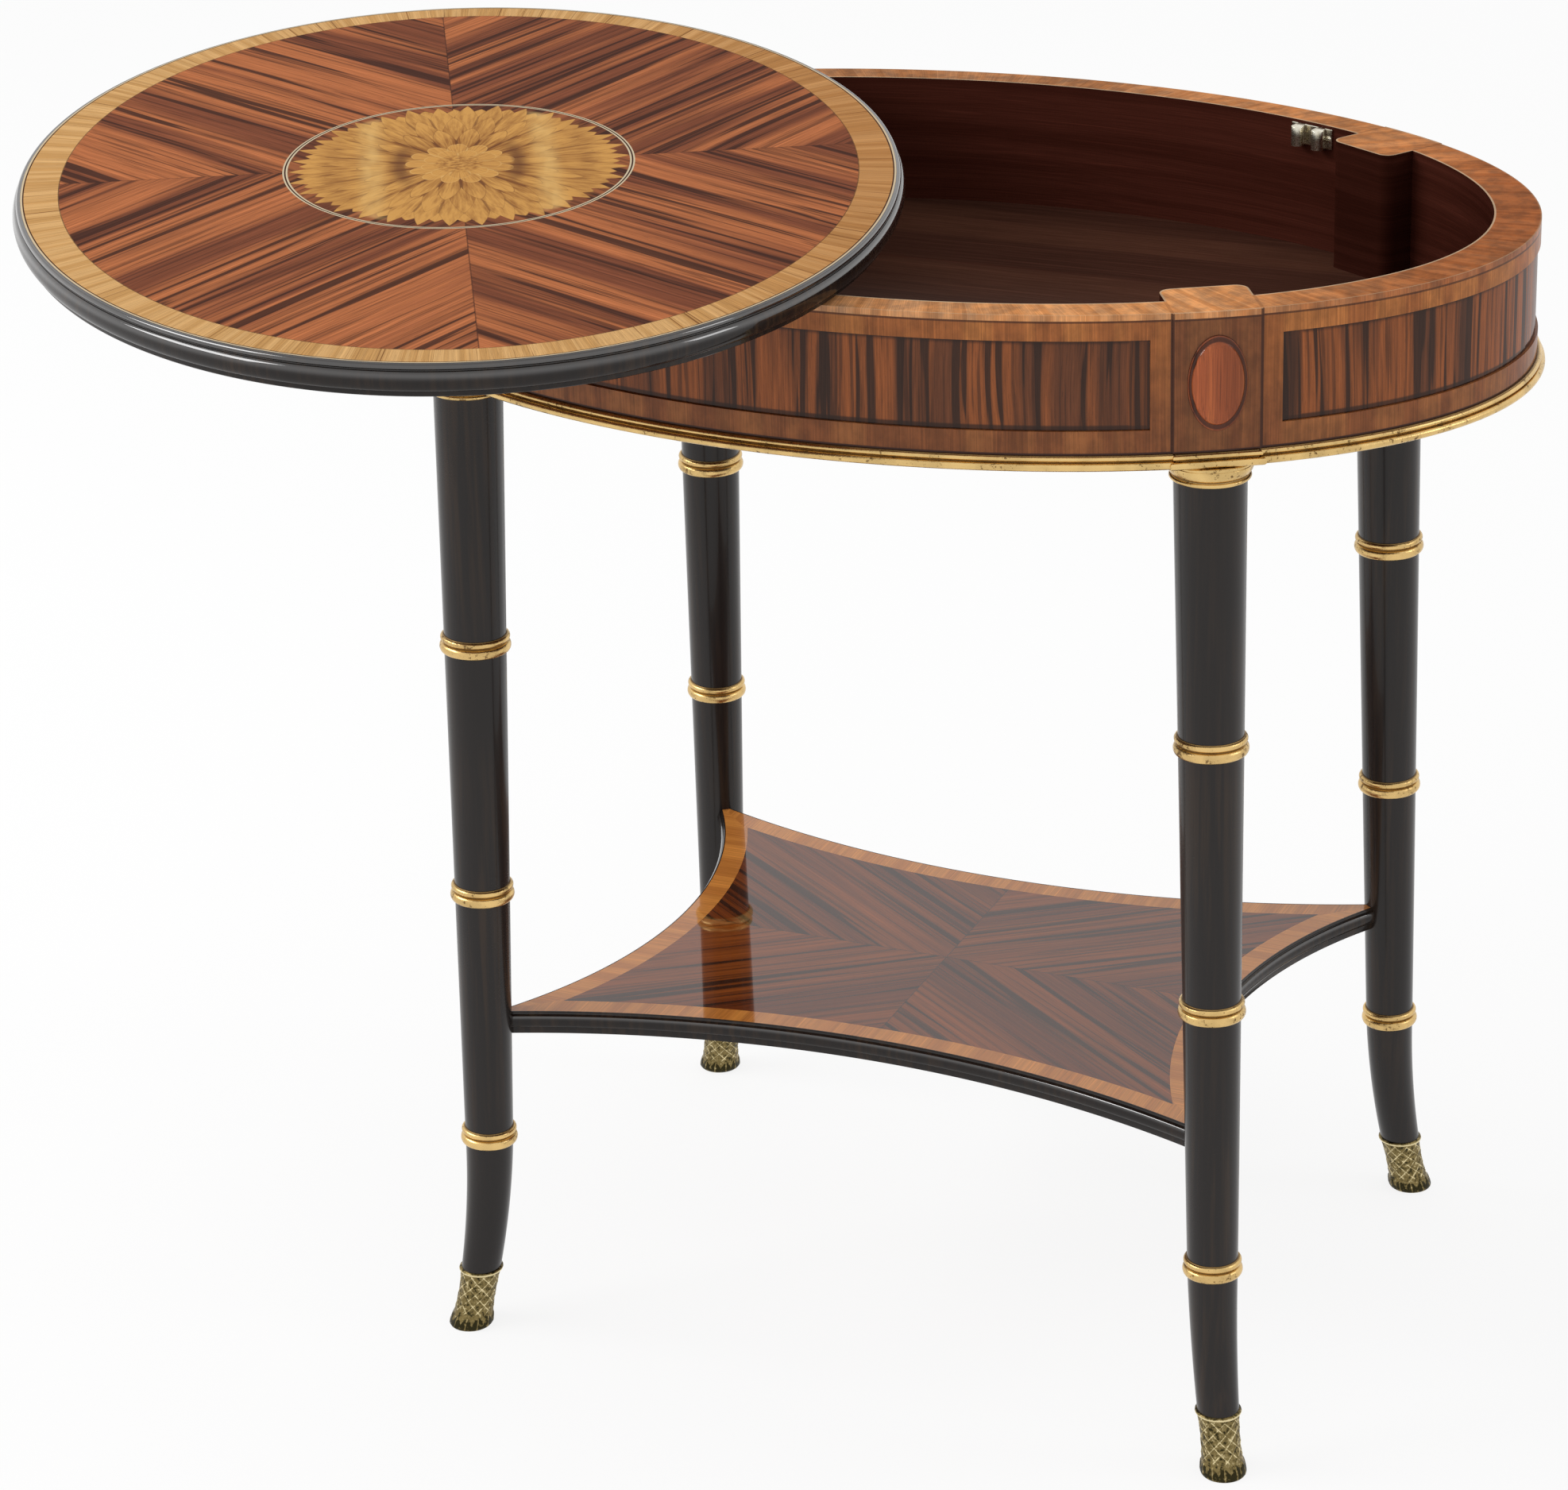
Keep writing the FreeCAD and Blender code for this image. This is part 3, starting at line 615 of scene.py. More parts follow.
# Shader settings: the rubbed polish of the top and the deep gloss of the shelf
SATIN = {"Coat_Weight": 0.05, "Coat_Roughness": 0.15, "Specular_IOR_Level": 0.0}
GLOSS = {"Coat_Weight": 1.0, "Coat_Roughness": 0.03, "Coat_IOR": 1.54, "Specular_IOR_Level": 0.0}

# How far each leaf's grain turns from the long axis
TOP_GRAIN, SHELF_GRAIN = math.radians(38), math.radians(36)

# The petals' rings from the outside in: their count, shift in petals, tip, notch and its power, shading, how
# dark the outline is and which setting colours it. Tips and notches are shares of the oval
PETAL_RINGS = (
    (34.0, 0.5, 0.9, 0.1, 1.2, 0.9, 0.55, "inlay_ink"),
    (34.0, 0.0, 0.955, 0.19, 1.1, 0.55, 0.5, "inlay_ink"),
    (22.0, 0.5, 0.76, 0.24, 1.2, 0.95, 0.5, "inlay_ink"),
    (18.0, 0.0, 0.57, 0.2, 1.4, 1.2, 0.75, "inlay_ink"),
    (13.0, 0.0, 0.3, 0.07, 2.4, 0.5, 0.45, "inlay_pale"),
    (9.0, 0.5, 0.22, 0.05, 2.2, 0.6, 0.35, "inlay_pale"),
)

# Where the shelf's crossbanding is mitred, in metres, and how steep the mitre is
MITRE_X, MITRE_Y, MITRE_SLOPE = 0.2205, 0.1604, 0.93


class Finishes:
    """Every material of the table, made once from the colour settings. A finish's own method has its name and
    wires its material from the object coordinates to the shader."""

    def __init__(self, hues):
        """Builds the shared effects."""
        self.hues = hues
        self.oval = oval_reading()
        self.line = inked_line()
        self.streaked = streaked_wood()
        self.rosewood = matched_rosewood(self.streaked)
        self.band = banded_veneer(self.streaked)
        self.gild = gilding()
        self.lacquered = lacquer()
        self.petals = petal_ring()
        self.made = {}

    def get(self, name):
        """A finish by name, made the first time that it is asked for."""
        if name not in self.made:
            material = bpy.data.materials.new(name)
            material.use_nodes = True
            w = Wiring(material.node_tree)
            getattr(self, name)(w, w.put("ShaderNodeTexCoord", {}).outputs["Object"])
            self.made[name] = material
        return self.made[name]

    def hue(self, name):
        """A colour setting with full alpha."""
        red, green, blue = getattr(self.hues, name)
        return (red, green, blue, 1.0)

    def tones(self, *names):
        """Three colour settings as the light, warm and dark of a wood."""
        return dict(zip(TONES, map(self.hue, names)))

    def close(self, w, colour, roughness, height, distance=0.0002, strength=0.5, **shader):
        """Joins colour, roughness, a bump and what else the shader is set to."""
        sockets = {"Height": height, "Distance": distance, "Strength": strength}
        bump = w.put("ShaderNodeBump", sockets).outputs[0]
        shader.update({"Base Color": colour, "Roughness": roughness, "Normal": bump})
        w.feed(w.tree.nodes["Principled BSDF"], shader)

    def polish(self, w, wood, dullness, colour=None, **shader):
        """Joins a wood to the shader, duller by a given amount and in another colour where one is given."""
        colour = wood["Color"] if colour is None else colour
        self.close(w, colour, w.add(wood["Roughness"], dullness), wood["Height"], **shader)

    def wood(self, w, vector, tones, streaks, fineness):
        """Streaked wood in three colour settings."""
        return w.group(self.streaked, Vector=vector, Streaks=streaks, Fineness=fineness, **self.tones(*tones))

    def leaves(self, w, place, angle, family):
        """The matched leaves' wood at a place, in the three tones of a family."""
        tones = self.tones(family + "_light", family + "_warm", family + "_dark")
        grain = {"Grain X": math.cos(angle), "Grain Y": math.sin(angle)}
        return w.group(self.rosewood, Vector=place, Streaks=0.58, **grain, **tones)

    def banding(self, w, reading, tones, lengths, variety, streaks):
        """Crossbanding that follows an oval, in three colour settings."""
        where = {key: reading[key] for key in ("Depth", "Turn", "Direction")}
        made = {"Lengths": lengths, "Variety": variety, "Streaks": streaks}
        return w.group(self.band, **where, **made, **self.tones(*tones))

    def against(self, w, place, oval):
        """How a place lies against one of the ovals."""
        return w.group(self.oval, Vector=place, Half_Length=oval[0] * MM, Half_Width=oval[1] * MM)

    def inked(self, w, distance, centre, width):
        """A line of a width in mm where the distance is a number of mm."""
        return w.group(self.line, Distance=distance, Centre=centre * MM, Width=width * MM)["Mask"]

    def closed_top(self, w, place):
        """Object coordinates turned about the pivot to where they lie when the top is closed."""
        pivot = PIVOT * MM
        turned = Matrix.Rotation(OPEN, 2) @ Vector(pivot)
        shift = (pivot[0] - turned[0], pivot[1] - turned[1], 0.0)
        sockets = {"Vector": place, "Location": shift, "Rotation": (0.0, 0.0, OPEN)}
        return w.put("ShaderNodeMapping", sockets, vector_type="POINT").outputs[0]

    def top_leaf(self, w, place):
        """Polished rosewood leaves of the top."""
        self.polish(w, self.leaves(w, self.closed_top(w, place), TOP_GRAIN, "rosewood"), 0.26, **SATIN)

    def shelf_leaf(self, w, place):
        """Rosewood leaves of the shelf under a deep gloss."""
        wood = self.leaves(w, place, SHELF_GRAIN, "shelf")
        self.polish(w, wood, 0.2, distance=0.0001, strength=0.3, **GLOSS)

    def top_band(self, w, place):
        """Golden crossbanding of the top, with a pale line by the black edge and a dark one by the leaves."""
        place = self.closed_top(w, place)
        reading = self.against(w, place, BORDER_OVAL)
        outer = reading["Depth"]
        inner = self.against(w, place, LEAF_OVAL)["Depth"]
        wood = self.banding(w, reading, ("band_light", "band_warm", "band_dark"), 26.0, 0.07, 0.1)
        _, y, _ = w.split(place)
        tone = w.slope(y, 0.08, 0.22, 1.0, 0.78)
        colour = w.toned(wood["Color"], tone, w.power(tone, 1.7), w.power(tone, 2.2))
        pale = self.inked(w, outer, 0.6, 0.9)
        quirk = self.inked(w, outer, 1.5, 0.7)
        joint = self.inked(w, inner, -0.2, 0.5)
        colour = w.blend(pale, colour, self.hue("stringing"))
        colour = w.blend(w.most(quirk, w.times(joint, 0.7)), colour, self.hue("rosewood_dark"))
        self.polish(w, wood, 0.26, colour, **SATIN)

    def shelf_band(self, w, place):
        """Orange-brown crossbanding of the shelf; its grain runs across each side of the outline."""
        x, y, z = w.split(place)
        # The long sides' band runs along X and the ends' along Y; the joint is the line to the leg
        past_y = w.less(w.size(y), MITRE_Y)
        past_x = w.less(w.size(x), MITRE_X)
        long_side = w.math("GREATER_THAN", past_y, w.times(past_x, MITRE_SLOPE))
        along = w.blend(long_side, w.join(x, y, z), w.join(y, x, z))
        wood = self.wood(w, along, ("shelf_band_light", "shelf_band_warm", "apron_dark"), -0.5, 2.4)
        self.polish(w, wood, 0.2, distance=0.0001, strength=0.3, **GLOSS)

    def medallion(self, w, place):
        """The inlaid oval: a rosewood ground, rings of sand-shaded petals about a small flower, and double
        stringing."""
        place = self.closed_top(w, place)
        reading = self.against(w, place, MEDALLION_OVAL)
        share, turn, depth = reading["Share"], reading["Turn"], reading["Depth"]
        ground = self.leaves(w, place, TOP_GRAIN, "rosewood")
        side_x, side_y, _ = w.split(reading["Direction"])
        ray = w.join(w.times(share, 0.16), w.times(side_x, 0.05), w.times(side_y, 0.05))
        fibre = w.noise(ray, (40.0, 560.0, 560.0), 3.0, 0.6)
        colour = w.blend(0.35, ground["Color"], self.hue("rosewood_dark"))
        light, shade, pale = self.hue("inlay_light"), self.hue("inlay_shade"), self.hue("inlay_pale")
        for count, shift, tip, notch, power, shading, inked, outline in PETAL_RINGS:
            form = {"Count": count, "Shift": shift, "Tip": tip, "Notch": notch, "Power": power}
            ring = w.group(self.petals, Share=share, Turn=turn, **form)
            root = w.slope(share, tip - 0.04, tip - 0.26)
            amount = w.times(w.power(ring["Across"], 2.2), 0.5)
            amount = w.times_add(root, 0.35 * shading, w.times(amount, shading))
            amount = w.add(amount, w.times(w.less(ring["Tone"], 0.5), 0.3))
            amount = w.add(amount, w.times(w.less(fibre, 0.46), 2.2), clamp=True)
            petal = w.blend(amount, light, shade)
            petal = w.blend(w.times(ring["Edge"], inked), petal, self.hue(outline))
            colour = w.blend(ring["Inside"], colour, petal)
        # The sheet's own figure runs across it in bands: pale ones with brown ones either side
        _, y, _ = w.split(place)
        off = w.size(y)
        petals = w.slope(share, 0.95, 0.9)
        ripple = w.slope(w.noise(place, (30.0, 90.0, 1.0), 2.0), 0.3, 0.7, 0.5, 1.0)
        for centre, half, amount, tone in ((0.049, 0.011, 0.6, pale), (0.069, 0.012, 0.35, shade)):
            band = w.times(w.times(w.hump(off, centre, half), petals), ripple)
            colour = w.blend(w.times(band, amount), colour, tone)
        near = w.times(w.hump(off, 0.033, 0.01), w.slope(share, 0.5, 0.34))
        near = w.times(near, w.slope(share, 0.29, 0.32, 0.0, 0.74))
        colour = w.blend(near, colour, self.hue("inlay_ink"))
        heart = w.blend(w.slope(w.noise(place, 300.0, 2.0), 0.3, 0.7), shade, light)
        colour = w.blend(w.times(w.slope(share, 0.15, 0.12), 0.8), colour, heart)
        lines = w.most(self.inked(w, depth, 0.5, 1.1), self.inked(w, depth, 2.3, 1.1))
        colour = w.blend(lines, colour, self.hue("stringing"))
        colour = w.blend(self.inked(w, depth, 1.4, 0.9), colour, self.hue("rosewood_dark"))
        self.close(w, colour, w.times_add(fibre, 0.12, 0.27), fibre, **SATIN)

    def by_block(self, w, place):
        """How far a place lies along the frame from the nearest corner block's middle line, and how far in
        from the frame's outline there."""
        folded = w.vector("SUBTRACT", w.vector("ABSOLUTE", place), (*BLOCK_POINT * MM, 0.0))
        along = w.vector("DOT_PRODUCT", folded, (*BLOCK_ALONG, 0.0))
        return along, w.vector("DOT_PRODUCT", folded, (*-BLOCK_OUT, 0.0))

    def frame_wood(self, w, place):
        """The oval frame: mottled veneer outside, banded rim on top and dark wood inside the well."""
        reading = self.against(w, place, FRAME_OVAL)
        depth = reading["Depth"]
        inner = self.against(w, place, WELL_OVAL)["Depth"]
        along, into = self.by_block(w, place)
        off = w.size(along)
        x, y, z = w.split(place)
        dark = self.hue("apron_dark")
        mottle = w.slope(w.noise(place, (120.0, 120.0, 90.0), 4.0), 0.3, 0.7, 0.8, 1.16)
        beside = w.slope(off, BLOCK_HALF * MM, (BLOCK_HALF + 1.0) * MM)
        # Outside, the rails are paler than the blocks, and the rail over the panels is the most golden
        outside = self.wood(w, w.join(z, x, y), ("apron_light", "apron_warm", "apron_dark"), -0.6, 1.5)
        height = w.slope(z, (PANEL_LOW - 3.0) * MM, PANEL_HIGH * MM)
        lift = w.times(beside, w.times_add(height, 0.42, 0.21))
        tone = w.times(mottle, w.add(lift, 0.77))
        outer = w.toned(outside["Color"], tone, tone, w.times(tone, w.times_add(lift, -0.3, 0.92)))
        # The rim's banding is darker at the back and the right end, darker at the left with a painted shadow
        # of the top, and mottled all along
        rim = self.banding(w, reading, ("rim_light", "rim_warm", "apron_dark"), 30.0, 0.2, -0.4)
        shade = w.times(w.slope(y, -0.16, 0.1, 1.0, 0.84), w.slope(x, 0.2, 0.32, 1.0, 0.62))
        banded = w.toned(rim["Color"], shade, w.power(shade, 1.5), w.power(shade, 1.7))
        top_shadow_and_mottle = w.times(w.slope(x, 0.0, 0.16, 0.74, 1.0), w.times_add(mottle, 1.4, -0.38))
        banded = w.toned(banded, top_shadow_and_mottle, w.power(top_shadow_and_mottle, 0.8), w.power(top_shadow_and_mottle, 0.4))
        outer = w.blend(w.slope(z, (CAP_FOOT + 0.1) * MM, (CAP_FOOT + 0.4) * MM), outer, banded)
        # Dark lines where the block meets its neighbours, over the gilt moulding and under the rim's cap:
        # joints, widened with painted shadow in the step beside each block and in the gap over the moulding
        joint = self.inked(w, off, BLOCK_HALF, 1.8)
        foot = self.inked(w, z, FRAME_FOOT, 2.2)
        cap = self.inked(w, z, CAP_FOOT - 0.3, 1.1)
        lines = w.most(w.times(joint, 0.85), w.most(foot, w.times(cap, 0.75)))
        outer = w.blend(lines, outer, dark)
        # Painted highlights: pale lines along the rim's outer edge, its edge over the well and the rounded
        # corners of the blocks' caps, where those arrises catch the light
        arris_highlight = w.slope(depth, 0.0011, 0.0002, 0.0, 0.5)
        arris_highlight = w.most(arris_highlight, w.times(self.inked(w, inner, -0.4, 1.2), beside))
        # A block's cap ends in rounded corners: past is how far a place lies beyond their centres, each way
        past_side = w.less(off, (BLOCK_HALF - BLOCK_CORNER) * MM)
        past_end = w.less(into, (BLOCK_DEPTH - BLOCK_CORNER) * MM)
        past = w.vector("MAXIMUM", w.join(past_side, past_end, 0.0), (0.0, 0.0, 0.0))
        arris = w.slope(w.vector("LENGTH", past), (BLOCK_CORNER - 1.3) * MM, (BLOCK_CORNER - 0.5) * MM)
        arris_highlight = w.most(arris_highlight, w.times(arris, w.slope(inner, -0.0006, 0.0002)))
        pale = w.blend(w.times(arris_highlight, 0.55), banded, self.hue("stringing"))
        pale = w.blend(w.times(joint, 0.25), pale, dark)
        # Painted shade: the well is darkened at its right end and beside the blocks
        round_well = w.join(w.times(reading["Turn"], 1.7), z, 0.0)
        well = self.wood(w, round_well, ("well_light", "well_dark", "well_dark"), -0.8, 2.6)
        well_shade = w.times(w.slope(x, 0.24, 0.32, 1.0, 0.6), w.times_add(beside, 0.4, 0.6))
        colour = w.blend(w.slope(depth, 0.005, 0.0055), outer, w.toned(well["Color"], well_shade))
        on_top = w.slope(z, (RIM - 0.15) * MM, (RIM - 0.05) * MM)
        colour = w.blend(on_top, colour, pale)
        # The rim and the well are rubbed duller than the outside
        shine = w.times(w.slope(depth, 0.004, 0.003), w.slope(on_top, 1.0, 0.0))
        coat = w.times_add(shine, 0.4, 0.05)
        self.polish(w, outside, 0.27, colour, Coat_Weight=coat, Coat_Roughness=0.1, Specular_IOR_Level=0.0)

    def panel_wood(self, w, place):
        """Upright-grained rosewood in the panels, darker along their edges with wax and a painted shadow of
        the recess they sit in.
        """
        along, _ = self.by_block(w, place)
        off = w.size(along)
        x, y, z = w.split(place)
        grain = w.join(w.times(z, 2.2), x, y)
        wood = self.wood(w, grain, ("panel_light", "panel_warm", "panel_dark"), 0.62, 1.3)
        # Painted shadow of the recess, with wax: dark bands along each panel's top, bottom and ends, and a
        # wider dark stripe a little in from each end
        top = w.slope(z, (PANEL_HIGH - 3.0) * MM, (PANEL_HIGH - 0.3) * MM)
        low = w.slope(z, (PANEL_LOW + 3.4) * MM, (PANEL_LOW + 2.2) * MM)
        end = (BLOCK_HALF + STILE) * MM
        side = w.slope(off, end + 0.0035, end + 0.0008)
        stripe = w.slope(off, end + 0.0115, end + 0.0095, 0.0, 0.72)
        wax_and_shadow = w.most(w.most(top, low), w.most(side, stripe))
        colour = w.blend(w.times(wax_and_shadow, 0.8), wood["Color"], self.hue("panel_dark"))
        self.polish(w, wood, 0.24, colour, Coat_Weight=0.45, Coat_Roughness=0.08, Specular_IOR_Level=0.0)

    def patera_wood(self, w, place):
        """Reddish upright grain on the raised ovals, with painted shade darkening one side, and dark wax and
        a painted shadow in the groove round their edges.
        """
        along, _ = self.by_block(w, place)
        x, y, z = w.split(place)
        wood = self.wood(w, w.join(z, x, y), ("patera_light", "patera_warm", "apron_dark"), -0.1, 2.0)
        # Wax and painted shadow: darker where the relief falls into the groove round each oval
        wax_and_shadow = w.slope(w.relief(), 0.5, 0.24, 0.0, 0.85)
        # Painted shade: each oval is darker towards one side along the frame
        toned = w.toned(wood["Color"], w.slope(along, 0.015, -0.008, 0.62, 1.06))
        colour = w.blend(wax_and_shadow, toned, self.hue("apron_dark"))
        self.polish(w, wood, 0.2, colour, Coat_Weight=0.5, Coat_Roughness=0.06, Specular_IOR_Level=0.0)

    def well_wood(self, w, place):
        """Dark wood of the well's floor, grain along the table."""
        wood = self.wood(w, place, ("floor_light", "floor_dark", "well_dark"), -0.1, 0.8)
        self.polish(w, wood, 0.32, Coat_Weight=0.2, Coat_Roughness=0.2, Specular_IOR_Level=0.0)

    def board_wood(self, w, place):
        """Plain stained board under the shelf and the top."""
        wood = self.wood(w, place, ("apron_warm", "apron_dark", "well_dark"), 0.4, 0.7)
        self.polish(w, wood, 0.4, distance=0.0003, strength=0.6, Specular_IOR_Level=0.35)

    def black(self, w, place, gloss, coat, **shader):
        """Ebonised lacquer at a given gloss, polished highest on the crests of the mouldings."""
        tones = {"Black": self.hue("ebony"), "Brown": self.hue("ebony_brown")}
        made = w.group(self.lacquered, Vector=place, Gloss=gloss, **tones)
        polished = {"Coat Weight": w.add(w.relief(), coat, clamp=True), "Coat Roughness": 0.05, **shader}
        self.close(w, made["Color"], made["Roughness"], made["Height"], 0.0001, 0.25, **polished)

    def black_leg(self, w, place):
        """Satin black of the legs."""
        self.black(w, place, 0.16, 0.12, Coat_IOR=1.6, Specular_IOR_Level=0.25)

    def black_edge(self, w, place):
        """Gloss black of the edge mouldings."""
        self.black(w, place, 0.1, 0.16, Coat_IOR=1.9, Specular_IOR_Level=0.08)

    def gilt(self, w, place):
        """Rubbed gilding of the rings, capitals and base moulding."""
        tones = {"Gold": self.hue("gilt"), "Ground": self.hue("gilt_ground")}
        made = w.group(self.gild, Vector=place, Relief=w.relief(), Rub=0.42, **tones)
        self.close(w, made["Color"], made["Roughness"], made["Height"], 0.0004, 0.4, Metallic=1.0)

    def cast_brass(self, w, place):
        """Patinated cast brass of the feet: bright crests, olive flats and nearly black hollows."""
        blotch = w.noise(place, 430.0, 3.0, 0.6)
        grit = w.noise(place, 1400.0, 2.0)
        level = w.times_add(w.less(blotch, 0.5), 2.0, w.relief())
        colour = w.blend(w.slope(level, 0.1, 0.45), self.hue("cast_dark"), self.hue("cast_patina"))
        colour = w.blend(w.slope(level, 0.55, 0.95), colour, self.hue("cast_brass"))
        rough = w.times_add(blotch, 0.3, w.slope(level, 0.9, 0.2, 0.1, 0.3))
        height = w.times_add(blotch, 0.8, w.times(grit, 0.3))
        self.close(w, colour, rough, height, 0.0004, 0.5, Metallic=1.0)

    def bright_metal(self, w, place):
        """Lightly brushed nickelled metal of the catch, striker, bolt and screws."""
        brush = w.noise(place, (160.0, 160.0, 2600.0), 3.0)
        spots = w.noise(place, 240.0, 3.0)
        colour = w.blend(w.slope(spots, 0.35, 0.7), (0.78, 0.74, 0.62, 1.0), (0.56, 0.5, 0.38, 1.0))
        rough = w.times_add(brush, 0.18, w.times_add(spots, 0.12, 0.12))
        self.close(w, colour, rough, brush, 0.0001, 0.3, Metallic=1.0)


FINISHES = {}


def finish(name):
    """A material of the table by name; the set is made when the first one is asked for."""
    if "set" not in FINISHES:
        FINISHES["set"] = Finishes(bpy.context.scene.side_table_finishes)
    return FINISHES["set"].get(name)


def at_corners(name):
    """The names of the four nodes that stand or lie at the corners."""
    return [name + "_" + corner for corner in CORNER_NAMES]


NODE_FINISHES = {
    "frame_wood": ["apron_front", "apron_right", "apron_back", "apron_left"] + at_corners("block"),
    "panel_wood": ["panels"],
    "well_wood": ["base_board", "well_floor"],
    "board_wood": ["shelf_core", "top_core"],
    "shelf_leaf": at_corners("shelf_leaf"),
    "shelf_band": ["shelf_border"],
    "top_leaf": at_corners("top_leaf"),
    "top_band": ["top_border"],
    "medallion": ["top_medallion"],
    "bright_metal": ["pivot_plate", "pivot_bolt", "striker"],
}


class TablePiece:
    """What the operators share."""

    bl_options = {"REGISTER", "UNDO"}

    def detail(self):
        """The settings of how finely the pieces are made."""
        return bpy.context.scene.side_table_detail


class SIDETABLE_OT_veneers(TablePiece, bpy.types.Operator):
    """Give the solids that stay their woods and metals"""

    bl_idname = "side_table.veneers"
    bl_label = "Veneers"

    def execute(self, context):
        for name, nodes in NODE_FINISHES.items():
            for node in nodes:
                for slot in frame["nodes"][node].material_slots:
                    slot.material = finish(name)
        return {"FINISHED"}


class SIDETABLE_OT_top_edge(TablePiece, bpy.types.Operator):
    """Make the top's ebonised edge: a small bead over a broad half-round on a fillet"""

    bl_idname = "side_table.top_edge"
    bl_label = "Top edge"

    def execute(self, context):
        outline = profile(
            (-0.5, -0.06), (0.1, -0.01), (0.6, -0.1),
            half_round((0.7, -0.2), (2.1, -3.0), 1.1, 12),
            (1.9, -3.2), (1.95, -3.5),
            half_round((2.0, -3.6), (1.6, -14.2), 3.1, 22),
            (1.1, -14.5), (1.0, -16.8), (0.6, -17.2), (-0.5, -17.2),
        )
        rings = swung(round_oval(outline, BORDER_OVAL, TABLE_TOP, circle(self.detail().oval_steps)))
        # The bead and the shoulder of the half-round are polished highest
        up = outline[:, 1]
        shine = np.exp(-((up + 1.5) / 1.3) ** 2) + 0.8 * np.exp(-((up + 5.4) / 1.6) ** 2)
        relief = [np.tile(np.clip(shine, 0.0, 1.0), len(rings))]
        shells = [skin(rings, True)]
        piece("top_edge_moulding", shells, "top", "ebonised_edge", "black_edge", ["top_edge"], relief=relief)
        return {"FINISHED"}


# How far the gilt moulding stands out of the frame, and of a block
MOULDING_REACH, BREAK_REACH = 4.55, 4.4

# The break's path under a block: along, outward, and how far its corners' mitres push each way
BREAK_STOPS = ((-21.1, -4.0, -1, 0), (-21.1, 1.0, -1, 1), (21.1, 1.0, 1, 1), (21.1, -4.0, 1, 0))


class SIDETABLE_OT_base_moulding(TablePiece, bpy.types.Operator):
    """Make the gilt moulding round the foot of the frame, breaking forward under each block"""

    bl_idname = "side_table.base_moulding"
    bl_label = "Base moulding"

    def execute(self, context):
        outline = profile(
            (-0.8, -0.2), (0.3, -0.1), (0.9, -0.2),
            half_round((1.0, -0.35), (1.3, -3.1), 1.5, 12),
            (0.9, -3.4), (0.9, -3.7),
            half_round((1.2, -3.8), (2.9, -7.85), 2.4, 16),
            (-0.8, -7.95),
        )
        outline[:, 0] *= MOULDING_REACH / outline[:, 0].max()
        count = self.detail().oval_steps // 4
        # A turn along the oval at the block moves a place by this much
        pace = np.linalg.norm([FRAME_OVAL[0] * math.sin(BLOCK_TURN), FRAME_OVAL[1] * math.cos(BLOCK_TURN)])
        gap = (BLOCK_HALF - 0.5) / pace
        low, high = BLOCK_TURN - gap, BLOCK_TURN + gap
        shells = []
        for start, end in ((-low, low), (high, math.pi - high)):
            for turn in (0.0, math.pi):
                turns = np.linspace(start, end, count) + turn
                shells.append(skin(round_oval(outline, FRAME_OVAL, FRAME_FOOT, turns), False))
        # The break's path runs out of the frame, along the block and back in, mitred at its corners
        front = outline * np.array([BREAK_REACH / MOULDING_REACH, 1.0])
        rings = np.stack([
            on_block(place + way * front[:, 0], out + push * front[:, 0], FRAME_FOOT + front[:, 1])
            for place, out, way, push in BREAK_STOPS
        ])
        shells += four(rings)
        runs, breaks = profile_relief(outline, count, True), profile_relief(front, len(BREAK_STOPS), True)
        relief = [runs] * 4 + [breaks] * 4
        piece("gilt_base_moulding", shells, "base", "gilt", "gilt", ["base_moulding"], 50.0, relief)
        return {"FINISHED"}


def leg_centre(z):
    """The middle of the back right leg at a height: a straight splay, and below the knee a kick outward of
    KICK times s squared, where s runs from 0 at the knee to 1 at the floor."""
    z = np.asarray(z, float)
    drop = (BOARD_FOOT - z) / BOARD_FOOT
    low = np.clip(KNEE - z, 0.0, None) / KNEE
    place = LEG_HEAD + SPLAY * drop[..., None] + unit(SPLAY) * (KICK * low ** 2)[..., None]
    return np.concatenate([place, z[..., None]], -1)


def leg_radius(z):
    """The leg's radius: straight tapers from 19.7 at the head to 14.2 at the knee and 11.9 at the ankle."""
    return np.interp(z, [ANKLE, KNEE, BOARD_FOOT], [11.9, 14.2, 19.7])


def level_rings(heights, radii, count):
    """Level circles round the leg's middle line; radii is one number a ring, or one a point."""
    turn = circle(count)
    radii = np.asarray(radii, float).reshape(len(heights), -1)
    spokes = np.stack([np.cos(turn), np.sin(turn), np.zeros(count)], -1)
    return leg_centre(heights)[:, None, :] + radii[:, :, None] * spokes[None]


class SIDETABLE_OT_legs(TablePiece, bpy.types.Operator):
    """Make the four ebonised legs: straight splayed runs that curve outward below the lowest ring"""

    bl_idname = "side_table.legs"
    bl_label = "Legs"

    def execute(self, context):
        heights = np.concatenate([np.linspace(BOARD_FOOT, KNEE + 6, 14), np.linspace(KNEE, ANKLE - 1, 26)])
        rings = level_rings(heights, leg_radius(heights), self.detail().turned_steps)
        for name, shell in zip(at_corners("leg"), four(rings)):
            piece("ebonised_" + name, [shell], "base", "ebonised_leg", "black_leg", [name], 60.0)
        return {"FINISHED"}


